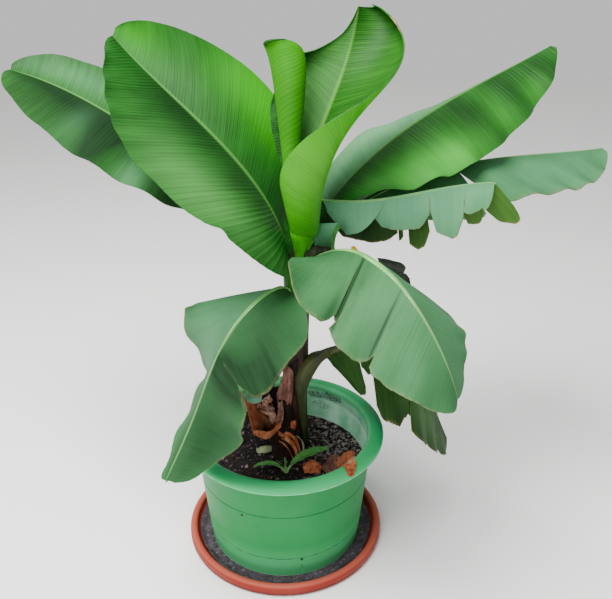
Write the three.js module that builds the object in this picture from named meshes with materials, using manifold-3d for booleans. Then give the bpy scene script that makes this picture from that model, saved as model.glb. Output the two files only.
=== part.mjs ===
// Banana plant in its round pot on a saucer.
// Millimetres, +Z up, origin at the centre of the saucer's flat underside, front at -Y.
import * as THREE from 'three';
import { mergeVertices } from 'three/addons/utils/BufferGeometryUtils.js';
import Module from 'manifold-3d';

const wasm = await Module();
wasm.setup();

// Clear gap between two solids that rest on, or run up to, each other
const GAP = 0.3;
// Room that a leaf leaves round an inner one
const LEAF_GAP = 1.2;
const ROUND_STEPS = 48;

// Saucer: flat floor, flared wall, rolled lip that is an arc between two angles
const SAUCER_RADIUS = 204;
const SAUCER_FOOT_RADIUS = 176;
const SAUCER_FLOOR = 4;
const SAUCER_HEIGHT = 21;
const SAUCER_LIP = 7;
const LIP_ARC = [-60, 180];
const LIP_STEPS = 8;

// Pot: tapered body under a thick rolled rim
const POT_HEIGHT = 252;
const POT_FOOT_RADIUS = 156;
const POT_BODY_TOP_RADIUS = 177;
const POT_WALL = 5;
const RIM_RADIUS = 200;
const RIM_INNER_RADIUS = 168;
const RIM_DEPTH = 27;
const RIM_CROWN = 9;
const RIM_UNDERCUT = 4;
const CROWN_STEPS = 6;

// Soil fills the pot to this height above the floor that the saucer stands on
const SOIL_LEVEL = 195;

// False stem of rolled sheaths: its centre line leans from foot to top
const STEM_FOOT = new THREE.Vector3(18, 28, SOIL_LEVEL + GAP);
const STEM_TOP = new THREE.Vector3(30, 2, 640);
const STEM_FOOT_RADIUS = 32;
const STEM_WAIST_RADIUS = 24;
const STEM_TOP_RADIUS = 20;
const STEM_SIDES = 16;
const STEM_ROWS = 14;
const FLARE_POWER = 5;
// A leaf's foot lies this far out from the stem's centre line, as a share of its radius
const FOOT_SHARE = 0.7;

// Leaf stalks and midribs
const STALK_RADIUS = 9;
const NECK_RADIUS = 7.5;
const TIP_RADIUS = 2.2;
const RIB_SIDES = 6;
const STALK_ROWS = 4;
const RIB_ROWS = 12;
const RIB_DROP = 2.5;

// Blades: each is this share of its leaf's length thick
const THICKNESS_SHARE = 0.0102;
const LOBE_ROWS = 12;
const FLAT_COLUMNS = 3;
const ROLLED_COLUMNS = 8;
const BLADE_START = 0.006;
const BLADE_END = 0.995;
const TEAR_START = 0.15;
const TEAR_GAP = 0.014;
const CURVE_STEPS = 48;
const CROSS_STEPS = 12;
// How far a half blade sweeps towards the tip for each millimetre out from the rib
const MARGIN_SWEEP = 0.2;
// Step, as a share, over which a sheet's facing is measured
const FACING_STEP = 0.004;

// Colours
const LEAF_GREEN = 0x4f9a35;
const DUSTY_GREEN = 0x5d8f66;
const YOUNG_GREEN = 0x76bf2e;
const OLIVE_GREEN = 0x3d6a2c;
const POT_GREEN = 0x4fb673;
const TERRACOTTA = 0xc8714f;
const SOIL_BROWN = 0x33261f;
const STEM_BROWN = 0x4a3a2c;
const DRY_BROWN = 0xb5703c;

// The leaves. Foot: height and compass angle on the stem. Angles are in degrees: heading is measured
// from +X towards +Y, pitch from the level, each at [foot, neck, middle, tip] of the leaf; a stalk with
// a bend keeps its foot's pitch longer. Each half has its width, and its lift and curl at [neck, middle,
// tip]. Lobes end at shares of the blade's length, where it is torn to the rib. Each may droop by its
// own angle, and its reach gives its first and last side as shares of the half's width.
const LEAVES = [
  {
    name: 'leaf_3', colour: YOUNG_GREEN, foot: [16, 12, 630], stalk: 22, blade: 408,
    heading: [50, 32, 23, 42], pitch: [86, 83, 67, 79], twist: [-61, -39, -65],
    left: { width: 203, lift: [43, 7, -4], curl: [505, 210, 143], roll: 2.4, outline: [1.24, 0.93],
      sweep: [0.8, 0.5, -1] },
    right: { width: 204, lift: [27, 35, -29], curl: [316, 38, 281], roll: 1.8, outline: [0.48, 0.29],
      sweep: [0.2, 0.4, 0.1] },
  },
  {
    name: 'leaf_2', colour: LEAF_GREEN, height: 600, azimuth: 190, stalk: 17, blade: 505,
    heading: [180, 177, 160, 159], pitch: [87, 81, 42, 45],
    left: { width: 183, lift: [9, -7, 5], curl: [-7, -14, 3], outline: [0.69, 0.53],
      sweep: [-0.22, 0.15, -0.17] },
    right: { width: 141, lift: [12, 36, 54], curl: [-6, 16, 36], outline: [0.77, 0.54],
      sweep: [0.31, 0.08, 0.39] },
  },
  {
    name: 'leaf_1', colour: LEAF_GREEN, height: 585, azimuth: 145, stalk: 80, blade: 662,
    heading: [150, 157, 154, 156], pitch: [70, 35, 26, 8],
    left: { width: 140, lift: [10, -4, -3], curl: [-9, -16, -11] },
    right: { width: 124, lift: [23, 9, 40], curl: [3, -4, 27] },
  },
  {
    name: 'leaf_4', colour: LEAF_GREEN, height: 610, azimuth: 70, stalk: 100, blade: 578,
    heading: [34, 19, 31, 22], pitch: [67, 53, 22, 23],
    left: { width: 151, lift: [7, -15, -50], curl: [-11, -19, -36] },
    right: { width: 129, lift: [1, -31, -10], curl: [-9, -30, -32] },
  },
  {
    name: 'leaf_6', colour: DUSTY_GREEN, height: 605, azimuth: 8, stalk: 135, bend: 7, blade: 303,
    heading: [32, 2, -16, -11], pitch: [90, -12, 15, 3],
    left: { width: 108, lift: [-72, -80, -72], curl: [0, 0, 0], outline: [0.9, 0.35],
      sweep: [-0.1, -0.15, 0.35],
      lobes: [{ to: 0.42, reach: [0.8, 0.78] }, { to: 0.47, reach: [0.95, 0.9] },
        { to: 0.5, reach: [0.5, 0.5] }, { to: 0.61, reach: [1, 1.05] }, { to: 0.82, reach: [0.6, 0.6] },
        { to: 0.9, reach: [0.75, 0.9] }, { to: 1, reach: [0.85, 1.35] }] },
    right: { width: 100, lift: [-61, -76, -60], curl: [0, 0, 0], outline: [1.4, 0.45],
      sweep: [0.1, -0.15, -0.6],
      lobes: [{ to: 0.4, droop: 4, reach: [1.3, 0.5] }, { to: 0.64, droop: -3, reach: [0.62, 0.64] },
        { to: 1, droop: 2, reach: [0.76, 1.1] }] },
  },
  {
    name: 'leaf_5', colour: DUSTY_GREEN, height: 578, azimuth: 42, stalk: 135, blade: 580,
    heading: [27, 23, 18, 19], pitch: [77, 31, 4, 2],
    left: { width: 124, lift: [-20, -22, -60], curl: [0, 0, -12],
      lobes: [{ to: 0.5 }, { to: 0.74, droop: -14 }, { to: 1, droop: -35, reach: [1.1, 1.3] }] },
    right: { width: 134, lift: [-37, -25, -39], curl: [-15, 14, 10], outline: [1.1, 0.6],
      lobes: [{ to: 0.41, droop: -40 }, { to: 1 }] },
  },
  {
    name: 'leaf_7', colour: DUSTY_GREEN, height: 572, azimuth: -40, stalk: 71, blade: 432,
    heading: [-33, -49, -59, -37], pitch: [80, 36, -18, -73],
    left: { width: 144, lift: [-35, -31, -16], curl: [-22, -9, 5], outline: [0.78, 0.57],
      sweep: [0.23, 0.37, 0.13],
      lobes: [{ to: 0.26, droop: -12 }, { to: 0.46, droop: -22 }, { to: 1 }] },
    right: { width: 159, lift: [-3, -34, 0], curl: [7, -3, 15], outline: [0.38, 0.57],
      sweep: [0.62, 0.61, 1],
      lobes: [{ to: 0.31, droop: -3 }, { to: 0.57, droop: -2 }, { to: 1, droop: 1 }] },
  },
  {
    name: 'leaf_8', colour: DUSTY_GREEN, height: 535, azimuth: 222, stalk: 35, blade: 446,
    heading: [217, 253, 212, 255], pitch: [79, 37, -61, -24],
    left: { width: 160, lift: [-25, -1, -29], curl: [-8, 9, -8], outline: [0.78, 0.6],
      sweep: [0.63, 0.12, -0.19],
      lobes: [{ to: 0.56, droop: -2 }, { to: 1, droop: 2 }] },
    right: { width: 220, lift: [-18, -29, -30], curl: [-1, -6, -13], outline: [0.74, 0.22],
      sweep: [-0.08, 0.38, -0.18],
      lobes: [{ to: 0.46 }, { to: 0.7, droop: -8, reach: [0.85, 0.6] },
        { to: 1, droop: -65, reach: [0.6, 0.35] }] },
  },
  {
    name: 'leaf_9', colour: OLIVE_GREEN, height: 335, azimuth: 5, stalk: 85, blade: 414,
    heading: [5, 2, 10, 12], pitch: [90, 34, -50, -65],
    left: { width: 105, lift: [-30, -40, -50], curl: [0, 0, 0],
      lobes: [{ to: 0.4 }, { to: 0.7, droop: -10 }, { to: 1, droop: 4 }] },
    right: { width: 150, lift: [-61, -32, -28], curl: [-17, 9, 11],
      lobes: [{ to: 0.17, droop: -8, reach: [1.1, 0.95] }, { to: 0.36, droop: -4, reach: [0.35, 0.35] },
        { to: 0.44, droop: -10, reach: [1, 0.95] }, { to: 0.58, droop: 6 }, { to: 0.72, droop: -8 },
        { to: 1, droop: 4 }] },
  },
];

// The sucker's three small leaves rise from one foot on the soil in front of the stem
const SUCKER_FOOT = [5, -72, SOIL_LEVEL - 2];
const SUCKER_RADII = [3.5, 2.2, 1.2];
const SUCKER_THICKNESS = 1.4;
const SUCKER_ROWS = 5;
const SUCKER_LEAVES = [
  {
    foot: SUCKER_FOOT, stalk: 18, blade: 84, heading: [40, 26, 22, 20], pitch: [70, 32, 12, -4],
    left: { width: 12, lift: [35, 15, 10], curl: [0, 0, 0] },
    right: { width: 12, lift: [35, 15, 10], curl: [0, 0, 0] },
  },
  {
    foot: SUCKER_FOOT, stalk: 16, blade: 56, heading: [160, 172, 180, 188], pitch: [70, 30, 0, -26],
    left: { width: 8, lift: [35, 15, 10], curl: [0, 0, 0] },
    right: { width: 8, lift: [35, 15, 10], curl: [0, 0, 0] },
  },
  {
    foot: SUCKER_FOOT, stalk: 12, blade: 26, heading: [110, 110, 110, 110], pitch: [85, 80, 78, 75],
    left: { width: 5, lift: [50, 40, 30], curl: [0, 0, 0] },
    right: { width: 5, lift: [50, 40, 30], curl: [0, 0, 0] },
  },
];

// Dry matter is this thick
const DRY_THICKNESS = 2.5;

// The open sheath: its reach down the stem, its radii, the compass angles that it spans, how far its
// middle lies left of the stem at top and end and in front of it, and the ruffle of its edge
const SHEATH_TOP = 338;
const SHEATH_END = 232;
const SHEATH_TOP_RADIUS = 44;
const SHEATH_END_RADIUS = 22;
const SHEATH_SPAN = [150, 385];
const SHEATH_LEFT = [40, 26];
const SHEATH_FRONT = 26;
const SHEATH_FLATNESS = 0.7;
const SHEATH_RUFFLE = 10;
const SHEATH_WAVES = 1.5;
const SHEATH_GRID = [5, 10];

// The two scraps of dry leaf on the soil
const SCRAP_GRID = [6, 4];
const SCRAP_TAPER = 0.65;
const SCRAPS = [
  { name: 'dry_scrap_left', centre: [56, -66], length: 34, width: 24, turn: -20, arch: 6 },
  { name: 'dry_scrap_right', centre: [104, -70], length: 46, width: 30, turn: 10, arch: 10 },
];

const radians = THREE.MathUtils.degToRad;
const { lerp } = THREE.MathUtils;

// A smooth curve through three values at 0, 1/2 and 1
function through([first, middle, last], share) {
  return first * (1 - share) * (1 - 2 * share)
    + middle * 4 * share * (1 - share)
    + last * share * (2 * share - 1);
}

// Width of a half blade as a share of its widest, from neck to tip
function outlineWidth(share, [skew, fullness] = [0.85, 0.55]) {
  return Math.sin(Math.PI * share ** skew) ** fullness;
}

// Closed geometry over rings of points that run the same way; both end rings are capped across
function loft(rings) {
  const count = rings[0].length;
  const positions = rings.flat().flatMap((point) => [point.x, point.y, point.z]);
  const triangles = [];
  const at = (row, column) => row * count + (column % count);
  for (let row = 0; row < rings.length - 1; row += 1) {
    for (let column = 0; column < count; column += 1) {
      triangles.push([at(row, column), at(row, column + 1), at(row + 1, column + 1)]);
      triangles.push([at(row, column), at(row + 1, column + 1), at(row + 1, column)]);
    }
  }
  for (const [row, flipped] of [[0, true], [rings.length - 1, false]]) {
    for (let column = 0; column < count / 2 - 1; column += 1) {
      const [a, b] = [at(row, column), at(row, column + 1)];
      const [c, d] = [at(row, count - 2 - column), at(row, count - 1 - column)];
      for (const corners of [[a, b, c], [a, c, d]]) triangles.push(flipped ? corners.reverse() : corners);
    }
  }
  if (signedVolume(positions, triangles) < 0) triangles.forEach((corners) => corners.reverse());
  const geometry = new THREE.BufferGeometry();
  geometry.setAttribute('position', new THREE.Float32BufferAttribute(positions, 3));
  geometry.setIndex(triangles.flat());
  return geometry;
}

function signedVolume(positions, triangles) {
  const corner = (index) => new THREE.Vector3().fromArray(positions, 3 * index);
  return triangles.reduce((sum, [a, b, c]) => sum + corner(a).dot(corner(b).cross(corner(c))) / 6, 0);
}

// Solid of a closed geometry, for joining and cutting
function solidOf(geometry) {
  const bare = geometry.clone();
  bare.deleteAttribute('normal');
  bare.deleteAttribute('uv');
  const merged = mergeVertices(bare, 1e-4);
  return new wasm.Manifold(new wasm.Mesh({
    numProp: 3,
    vertProperties: new Float32Array(merged.getAttribute('position').array),
    triVerts: new Uint32Array(merged.getIndex().array),
  }));
}

function geometryOf(solid) {
  const mesh = solid.getMesh();
  const geometry = new THREE.BufferGeometry();
  geometry.setAttribute('position', new THREE.Float32BufferAttribute(mesh.vertProperties, 3));
  geometry.setIndex(Array.from(mesh.triVerts));
  geometry.computeVertexNormals();
  return geometry;
}

// The largest piece that a cut leaves
function largestPiece(solid) {
  return solid.decompose().reduce((best, piece) => (piece.volume() > best.volume() ? piece : best));
}

// What of a solid stands clear above the soil
function aboveSoil(solid) {
  const depth = 50;
  const ground = new THREE.BoxGeometry(2 * RIM_RADIUS, 2 * RIM_RADIUS, depth);
  ground.translate(0, 0, SOIL_LEVEL + GAP - depth / 2);
  return largestPiece(solid.subtract(solidOf(ground)));
}

function makeMesh(name, geometry, color, roughness) {
  const mesh = new THREE.Mesh(geometry, new THREE.MeshStandardMaterial({ color, roughness, metalness: 0 }));
  mesh.name = name;
  return mesh;
}

// Body turned about +Z from a profile of [radius, height] pairs that starts and ends on the axis
function turned(profile) {
  const points = profile.map(([radius, height]) => new THREE.Vector2(radius, height));
  const geometry = new THREE.LatheGeometry(points, ROUND_STEPS);
  geometry.rotateX(Math.PI / 2);
  return geometry;
}

// Points of an arc in a turned profile, from one angle to another in degrees
function arc(centreRadius, centreHeight, radius, [from, to], steps) {
  return Array.from({ length: steps + 1 }, (_, step) => {
    const angle = radians(lerp(from, to, step / steps));
    return [centreRadius + radius * Math.cos(angle), centreHeight + radius * Math.sin(angle)];
  });
}

function makeSaucer() {
  const lipHeight = SAUCER_HEIGHT - SAUCER_LIP;
  const lipRadius = SAUCER_RADIUS - SAUCER_LIP;
  const profile = [
    [0, 0],
    [SAUCER_FOOT_RADIUS, 0],
    ...arc(lipRadius, lipHeight, SAUCER_LIP, LIP_ARC, LIP_STEPS),
    [SAUCER_FOOT_RADIUS - SAUCER_FLOOR, SAUCER_FLOOR],
    [0, SAUCER_FLOOR],
  ];
  return makeMesh('saucer', turned(profile), TERRACOTTA, 0.6);
}

// Pot body and rim, with its underside at height 0
function potProfile() {
  const rimMiddle = (RIM_RADIUS + RIM_INNER_RADIUS) / 2;
  const rimHalfWidth = (RIM_RADIUS - RIM_INNER_RADIUS) / 2;
  const crown = arc(0, 0, 1, [0, 180], CROWN_STEPS).map(([across, up]) => [
    rimMiddle + across * rimHalfWidth,
    POT_HEIGHT - RIM_CROWN + up * RIM_CROWN,
  ]);
  return [
    [0, 0],
    [POT_FOOT_RADIUS, 0],
    [POT_BODY_TOP_RADIUS, POT_HEIGHT - RIM_DEPTH],
    [RIM_RADIUS - RIM_UNDERCUT, POT_HEIGHT - RIM_DEPTH],
    ...crown,
    [innerWallRadius(POT_HEIGHT - RIM_DEPTH), POT_HEIGHT - RIM_DEPTH],
    [innerWallRadius(POT_WALL), POT_WALL],
    [0, POT_WALL],
  ];
}

// Inner radius of the pot's tapered wall at a height above its underside
function innerWallRadius(height) {
  const share = height / (POT_HEIGHT - RIM_DEPTH);
  return lerp(POT_FOOT_RADIUS - POT_WALL, RIM_INNER_RADIUS, share);
}

function makePot() {
  const pot = makeMesh('pot', turned(potProfile()), POT_GREEN, 0.45);
  pot.position.z = SAUCER_FLOOR + GAP;
  return pot;
}

function makeSoil() {
  const potUnderside = SAUCER_FLOOR + GAP;
  const bottom = POT_WALL + GAP;
  const top = SOIL_LEVEL - potUnderside;
  const facetGap = 2 * GAP;
  const profile = [
    [0, bottom],
    [innerWallRadius(bottom) - facetGap, bottom],
    [innerWallRadius(top) - facetGap, top],
    [0, top],
  ];
  const soil = makeMesh('soil', turned(profile), SOIL_BROWN, 0.95);
  soil.position.z = potUnderside;
  return soil;
}

function stemCentre(height) {
  const share = (height - STEM_FOOT.z) / (STEM_TOP.z - STEM_FOOT.z);
  return new THREE.Vector3().lerpVectors(STEM_FOOT, STEM_TOP, share);
}

// Lengthwise push of a grown body's ends: back at share 0, on at share 1, none between
function endPush(share, grow) {
  if (share === 0) return -grow;
  return share === 1 ? grow : 0;
}

// Stem with its flared foot, wider all round by grow
function stemSolid(grow) {
  const rings = [];
  for (let row = 0; row <= STEM_ROWS; row += 1) {
    const share = row / STEM_ROWS;
    const centre = stemCentre(lerp(STEM_FOOT.z, STEM_TOP.z, share));
    const flare = (STEM_FOOT_RADIUS - STEM_WAIST_RADIUS) * (1 - share) ** FLARE_POWER;
    const radius = flare + lerp(STEM_WAIST_RADIUS, STEM_TOP_RADIUS, share) + grow;
    rings.push(Array.from({ length: STEM_SIDES }, (_, side) => {
      const angle = (2 * Math.PI * side) / STEM_SIDES;
      return new THREE.Vector3(
        centre.x + radius * Math.cos(angle),
        centre.y + radius * Math.sin(angle),
        centre.z + endPush(share, grow),
      );
    }));
  }
  return solidOf(loft(rings));
}

function direction(heading, pitch) {
  return new THREE.Vector3().setFromSphericalCoords(1, radians(90 - pitch), radians(90 + heading))
    .applyAxisAngle(new THREE.Vector3(1, 0, 0), Math.PI / 2);
}

// Where a leaf runs: on(share) gives the centre and the along, side and up directions at a share of the
// blade's length, and onStalk(share) the same on its stalk
function leafPath(leaf) {
  const foot = leaf.foot ? new THREE.Vector3(...leaf.foot) : stemCentre(leaf.height).add(
    new THREE.Vector3(Math.cos(radians(leaf.azimuth)), Math.sin(radians(leaf.azimuth)), 0)
      .multiplyScalar(STEM_TOP_RADIUS * FOOT_SHARE),
  );
  const stalkAngles = (share) => [
    lerp(leaf.heading[0], leaf.heading[1], share),
    lerp(leaf.pitch[0], leaf.pitch[1], share ** (leaf.bend ?? 1)),
  ];
  const bladeAngles = (share) => [
    through(leaf.heading.slice(1), share),
    through(leaf.pitch.slice(1), share),
  ];
  const walk = (start, length, angles) => {
    const points = [start];
    for (let step = 0; step < CURVE_STEPS; step += 1) {
      const [heading, pitch] = angles((step + 0.5) / CURVE_STEPS);
      points.push(points[step].clone().addScaledVector(direction(heading, pitch), length / CURVE_STEPS));
    }
    return points;
  };
  const stalk = walk(foot, leaf.stalk, stalkAngles);
  const blade = walk(stalk[CURVE_STEPS], leaf.blade, bladeAngles);
  const frameAt = (points, angles, twist) => (share) => {
    const place = share * CURVE_STEPS;
    const step = Math.min(Math.floor(place), CURVE_STEPS - 1);
    const [heading, pitch] = angles(share);
    const along = direction(heading, pitch);
    const turn = radians(twist ? through(twist, share) : 0);
    const side = new THREE.Vector3(Math.sin(radians(heading)), -Math.cos(radians(heading)), 0)
      .applyAxisAngle(along, -turn);
    return {
      centre: points[step].clone().lerp(points[step + 1], place - step),
      along,
      side,
      up: side.clone().cross(along),
    };
  };
  const firstTwist = leaf.twist ? [leaf.twist[0], leaf.twist[0], leaf.twist[0]] : null;
  return { on: frameAt(blade, bladeAngles, leaf.twist), onStalk: frameAt(stalk, stalkAngles, firstTwist) };
}

// Point on a half blade: share along the rib, across from the rib (0) to the margin (1)
function bladePoint(path, half, hand, droop, share, across) {
  const { centre, along, side, up } = path.on(share);
  const width = half.width * outlineWidth(share, half.outline);
  const lift = through(half.lift, share);
  const curl = through(half.curl, share);
  const sweep = half.sweep ? through(half.sweep, share) : MARGIN_SWEEP;
  const point = centre.clone();
  for (let step = 0; step < CROSS_STEPS; step += 1) {
    const middle = ((step + 0.5) / CROSS_STEPS) * across;
    const angle = radians(lift + curl * middle ** (half.roll ?? 1) + droop * middle);
    const length = (across * width) / CROSS_STEPS;
    point.addScaledVector(side, hand * Math.cos(angle) * length);
    point.addScaledVector(up, Math.sin(angle) * length);
    point.addScaledVector(along, sweep * length);
  }
  return point;
}

// Closed sheet about a surface given by its points over shares 0 to 1 in two directions
function sheetSolid(pointAt, rows, columns, thickness) {
  const offset = (row, column) => {
    const before = Math.max(row - FACING_STEP, 0);
    const after = Math.min(row + FACING_STEP, 1);
    const inner = Math.max(column - FACING_STEP, 0);
    const outer = Math.min(column + FACING_STEP, 1);
    const lengthwise = pointAt(after, column).sub(pointAt(before, column));
    const crosswise = pointAt(row, outer).sub(pointAt(row, inner));
    return lengthwise.cross(crosswise).normalize().multiplyScalar(thickness / 2);
  };
  const rings = [];
  for (let row = 0; row <= rows; row += 1) {
    const top = [];
    const bottom = [];
    for (let column = 0; column <= columns; column += 1) {
      const [a, b] = [row / rows, column / columns];
      const point = pointAt(a, b);
      const normal = offset(a, b);
      top.push(point.clone().add(normal));
      bottom.unshift(point.clone().sub(normal));
    }
    rings.push([...top, ...bottom]);
  }
  return solidOf(loft(rings));
}

// One half of a blade as its lobes, which part at each tear and meet only at the rib
function halfSolids(path, half, hand, thickness, grow, lengthRows = LOBE_ROWS) {
  const lobes = half.lobes ?? [{ to: 1 }];
  let from = 0;
  return lobes.map(({ to, droop = 0, reach = [1, 1] }) => {
    const start = from;
    from = to;
    const rows = Math.max(3, Math.round(lengthRows * (to - start)));
    const columns = half.roll ? ROLLED_COLUMNS : FLAT_COLUMNS;
    const pointAt = (lengthwise, crosswise) => {
      const opening = TEAR_GAP * (crosswise - TEAR_START) / (1 - TEAR_START);
      const low = start === 0 ? BLADE_START : start + opening;
      const high = to === 1 ? BLADE_END : to - opening;
      const share = lerp(low, high, lengthwise);
      const across = crosswise * (lerp(...reach, lengthwise) + grow / half.width);
      return bladePoint(path, half, hand, droop, share, across)
        .addScaledVector(path.on(share).along, endPush(lengthwise, grow));
    };
    return sheetSolid(pointAt, rows, columns, thickness + 2 * grow);
  });
}

// Stalk and midrib in one tapering tube of three radii, wider all round by grow
function ribSolid(path, stalkRadius, neckRadius, tipRadius, grow) {
  const ring = ({ centre, along, side, up }, radius, push) => {
    const corner = (_, index) => {
      const angle = (2 * Math.PI * (index + 0.5)) / RIB_SIDES;
      return centre.clone()
        .addScaledVector(along, push)
        .addScaledVector(side, (radius + grow) * Math.cos(angle))
        .addScaledVector(up, (radius + grow) * Math.sin(angle) - RIB_DROP);
    };
    return Array.from({ length: RIB_SIDES }, corner);
  };
  const rings = [];
  for (let row = 0; row < STALK_ROWS; row += 1) {
    const share = row / STALK_ROWS;
    rings.push(ring(path.onStalk(share), lerp(stalkRadius, neckRadius, share), endPush(share, grow)));
  }
  for (let row = 0; row <= RIB_ROWS; row += 1) {
    const share = row / RIB_ROWS;
    const push = row === 0 ? 0 : endPush(share, grow);
    rings.push(ring(path.on(share), lerp(neckRadius, tipRadius, share), push));
  }
  return solidOf(loft(rings));
}

function leafSolid(leaf, grow) {
  const path = leafPath(leaf);
  const thickness = THICKNESS_SHARE * (leaf.stalk + leaf.blade);
  const rib = ribSolid(path, STALK_RADIUS, NECK_RADIUS, TIP_RADIUS, grow);
  const halves = [
    ...halfSolids(path, leaf.right, 1, thickness, grow),
    ...halfSolids(path, leaf.left, -1, thickness, grow),
  ];
  return halves.reduce((sum, half) => sum.add(half), rib);
}

// Each leaf is cut clear of the stem and of the leaves made before it
function makeLeaves() {
  const before = [stemSolid(GAP)];
  return LEAVES.map((leaf) => {
    const clear = before.reduce((solid, other) => solid.subtract(other), leafSolid(leaf, 0));
    before.push(leafSolid(leaf, LEAF_GAP));
    return makeMesh(leaf.name, geometryOf(largestPiece(clear)), leaf.colour, 0.5);
  });
}

// A withered sheath hangs open in front of the stem, on its left
function makeDrySheath() {
  const seat = stemCentre(SHEATH_TOP);
  const pointAt = (down, around) => {
    const angle = radians(lerp(...SHEATH_SPAN, around));
    const radius = lerp(SHEATH_TOP_RADIUS, SHEATH_END_RADIUS, down);
    const ruffle = SHEATH_RUFFLE * Math.sin(2 * Math.PI * SHEATH_WAVES * around) * (1 - down);
    return new THREE.Vector3(
      seat.x - lerp(...SHEATH_LEFT, down) + radius * Math.cos(angle),
      seat.y - SHEATH_FRONT + SHEATH_FLATNESS * radius * Math.sin(angle),
      lerp(SHEATH_TOP, SHEATH_END, down) + ruffle,
    );
  };
  const sheath = sheetSolid(pointAt, ...SHEATH_GRID, DRY_THICKNESS).subtract(stemSolid(GAP));
  return makeMesh('dry_sheath', geometryOf(largestPiece(sheath)), DRY_BROWN, 0.8);
}

// A scrap of dry leaf, arched along its length, lying on the soil
function makeDryScrap({ name, centre, length, width, turn, arch }) {
  const [cosine, sine] = [Math.cos(radians(turn)), Math.sin(radians(turn))];
  const pointAt = (lengthwise, crosswise) => {
    const along = (lengthwise - 0.5) * length;
    const breadth = width * (1 - SCRAP_TAPER * (1 - Math.sin(Math.PI * lengthwise)));
    const across = (crosswise - 0.5) * breadth;
    const rise = arch * (1 - (2 * lengthwise - 1) ** 2) + DRY_THICKNESS / 2;
    return new THREE.Vector3(
      centre[0] + along * cosine - across * sine,
      centre[1] + along * sine + across * cosine,
      SOIL_LEVEL + rise,
    );
  };
  const scrap = aboveSoil(sheetSolid(pointAt, ...SCRAP_GRID, DRY_THICKNESS));
  return makeMesh(name, geometryOf(scrap), DRY_BROWN, 0.8);
}

function makeSucker() {
  const parts = SUCKER_LEAVES.flatMap((leaf) => {
    const path = leafPath(leaf);
    return [
      ribSolid(path, ...SUCKER_RADII, 0),
      ...halfSolids(path, leaf.right, 1, SUCKER_THICKNESS, 0, SUCKER_ROWS),
      ...halfSolids(path, leaf.left, -1, SUCKER_THICKNESS, 0, SUCKER_ROWS),
    ];
  });
  const whole = parts.reduce((sum, part) => sum.add(part));
  return makeMesh('sucker', geometryOf(aboveSoil(whole)), LEAF_GREEN, 0.5);
}

const plant = new THREE.Group();
plant.add(
  makeSaucer(),
  makePot(),
  makeSoil(),
  makeMesh('stem', geometryOf(stemSolid(0)), STEM_BROWN, 0.8),
  ...makeLeaves(),
  makeSucker(),
  makeDrySheath(),
  ...SCRAPS.map(makeDryScrap),
);

export default plant;
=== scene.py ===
"""Looks of the banana plant: fine leaves, stem, soil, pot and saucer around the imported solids.

Blender works in metres, +Z up, front at -Y. The shapes are worked out in millimetres, by the rule that
the solids follow, and placed in metres.
"""
import math

import bpy
import numpy as np
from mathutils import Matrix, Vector


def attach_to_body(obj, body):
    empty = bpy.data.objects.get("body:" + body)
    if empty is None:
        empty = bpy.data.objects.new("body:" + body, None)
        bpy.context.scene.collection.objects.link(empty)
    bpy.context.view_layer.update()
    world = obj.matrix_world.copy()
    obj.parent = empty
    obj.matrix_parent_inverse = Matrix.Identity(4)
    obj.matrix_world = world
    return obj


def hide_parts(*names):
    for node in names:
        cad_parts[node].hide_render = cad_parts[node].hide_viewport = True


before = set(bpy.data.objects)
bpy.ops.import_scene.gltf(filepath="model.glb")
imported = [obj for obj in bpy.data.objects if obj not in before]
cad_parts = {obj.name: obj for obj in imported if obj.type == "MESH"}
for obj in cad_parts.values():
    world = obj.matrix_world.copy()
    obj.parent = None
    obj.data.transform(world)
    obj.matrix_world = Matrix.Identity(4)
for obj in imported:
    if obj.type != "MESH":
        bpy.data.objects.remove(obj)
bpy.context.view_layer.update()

MM = 0.001

# Saucer, pot and soil, as in the solids
SAUCER_RADIUS = 204
SAUCER_FOOT_RADIUS = 176
SAUCER_FLOOR = 4
SAUCER_HEIGHT = 21
SAUCER_LIP = 7
POT_BASE = 4.3
POT_HEIGHT = 252
POT_FOOT_RADIUS = 156
POT_BODY_TOP_RADIUS = 177
POT_WALL = 5
RIM_RADIUS = 200
RIM_INNER_RADIUS = 168
RIM_DEPTH = 27
RIM_CROWN = 9
SOIL_LEVEL = 195
# How much the pot's outer and inner walls widen for each millimetre up
POT_TAPER = 0.0933
INNER_TAPER = 0.0756
# The two lines moulded round the pot's wall
POT_SEAMS = (50.5, 161)
# The mud lies from the pot's foot outwards
MUD_RADII = (155.6, 182)
SOIL_SUNK = 20
CRUMBS = 1500

# Stem
STEM_FOOT = np.array([18, 28, 195.3])
STEM_TOP = np.array([30, 2, 640])
STEM_RADII = (32, 24, 20)
FLARE_POWER = 5
FOOT_OUT = 14
STEM_MAP = (445, 150)
# The sheath that runs down the stem from a stalk: how far, its half angle at top and bottom, thickness
SHEATH_DROP = 190
SHEATH_HALF_ANGLES = (30, 150)
SHEATH_THICKNESS = 1.4

# Leaves
STALK_RADIUS = 9
NECK_RADIUS = 7.5
TIP_RADIUS = 2.2
RIB_DROP = 2.5
BLADE_START = 0.006
BLADE_END = 0.995
TEAR_START = 0.15
TEAR_GAP = 0.014
CURVE_STEPS = 48
CROSS_STEPS = 12
MARGIN_SWEEP = 0.2
BLADE_THICKNESS = 1.6
ROW_PITCH = 1.5
RIDGE_PITCH = 7.5
VEIN_PITCH = 4
# A blade shorter than this has finer rows and ridges
FULL_BLADE = 300
FLAT_COLUMNS = 20
ROLLED_COLUMNS = 56
# A torn lobe's corners: how deep they are rounded, and how far from the tear
CORNER_DEPTH = 7
CORNER_REACH = 12
RIB_ROW_PITCH = 5
RIB_SIDES = 24
RIB_CHANNEL = 0.42
RIB_MAP_WIDTH = 40

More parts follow.
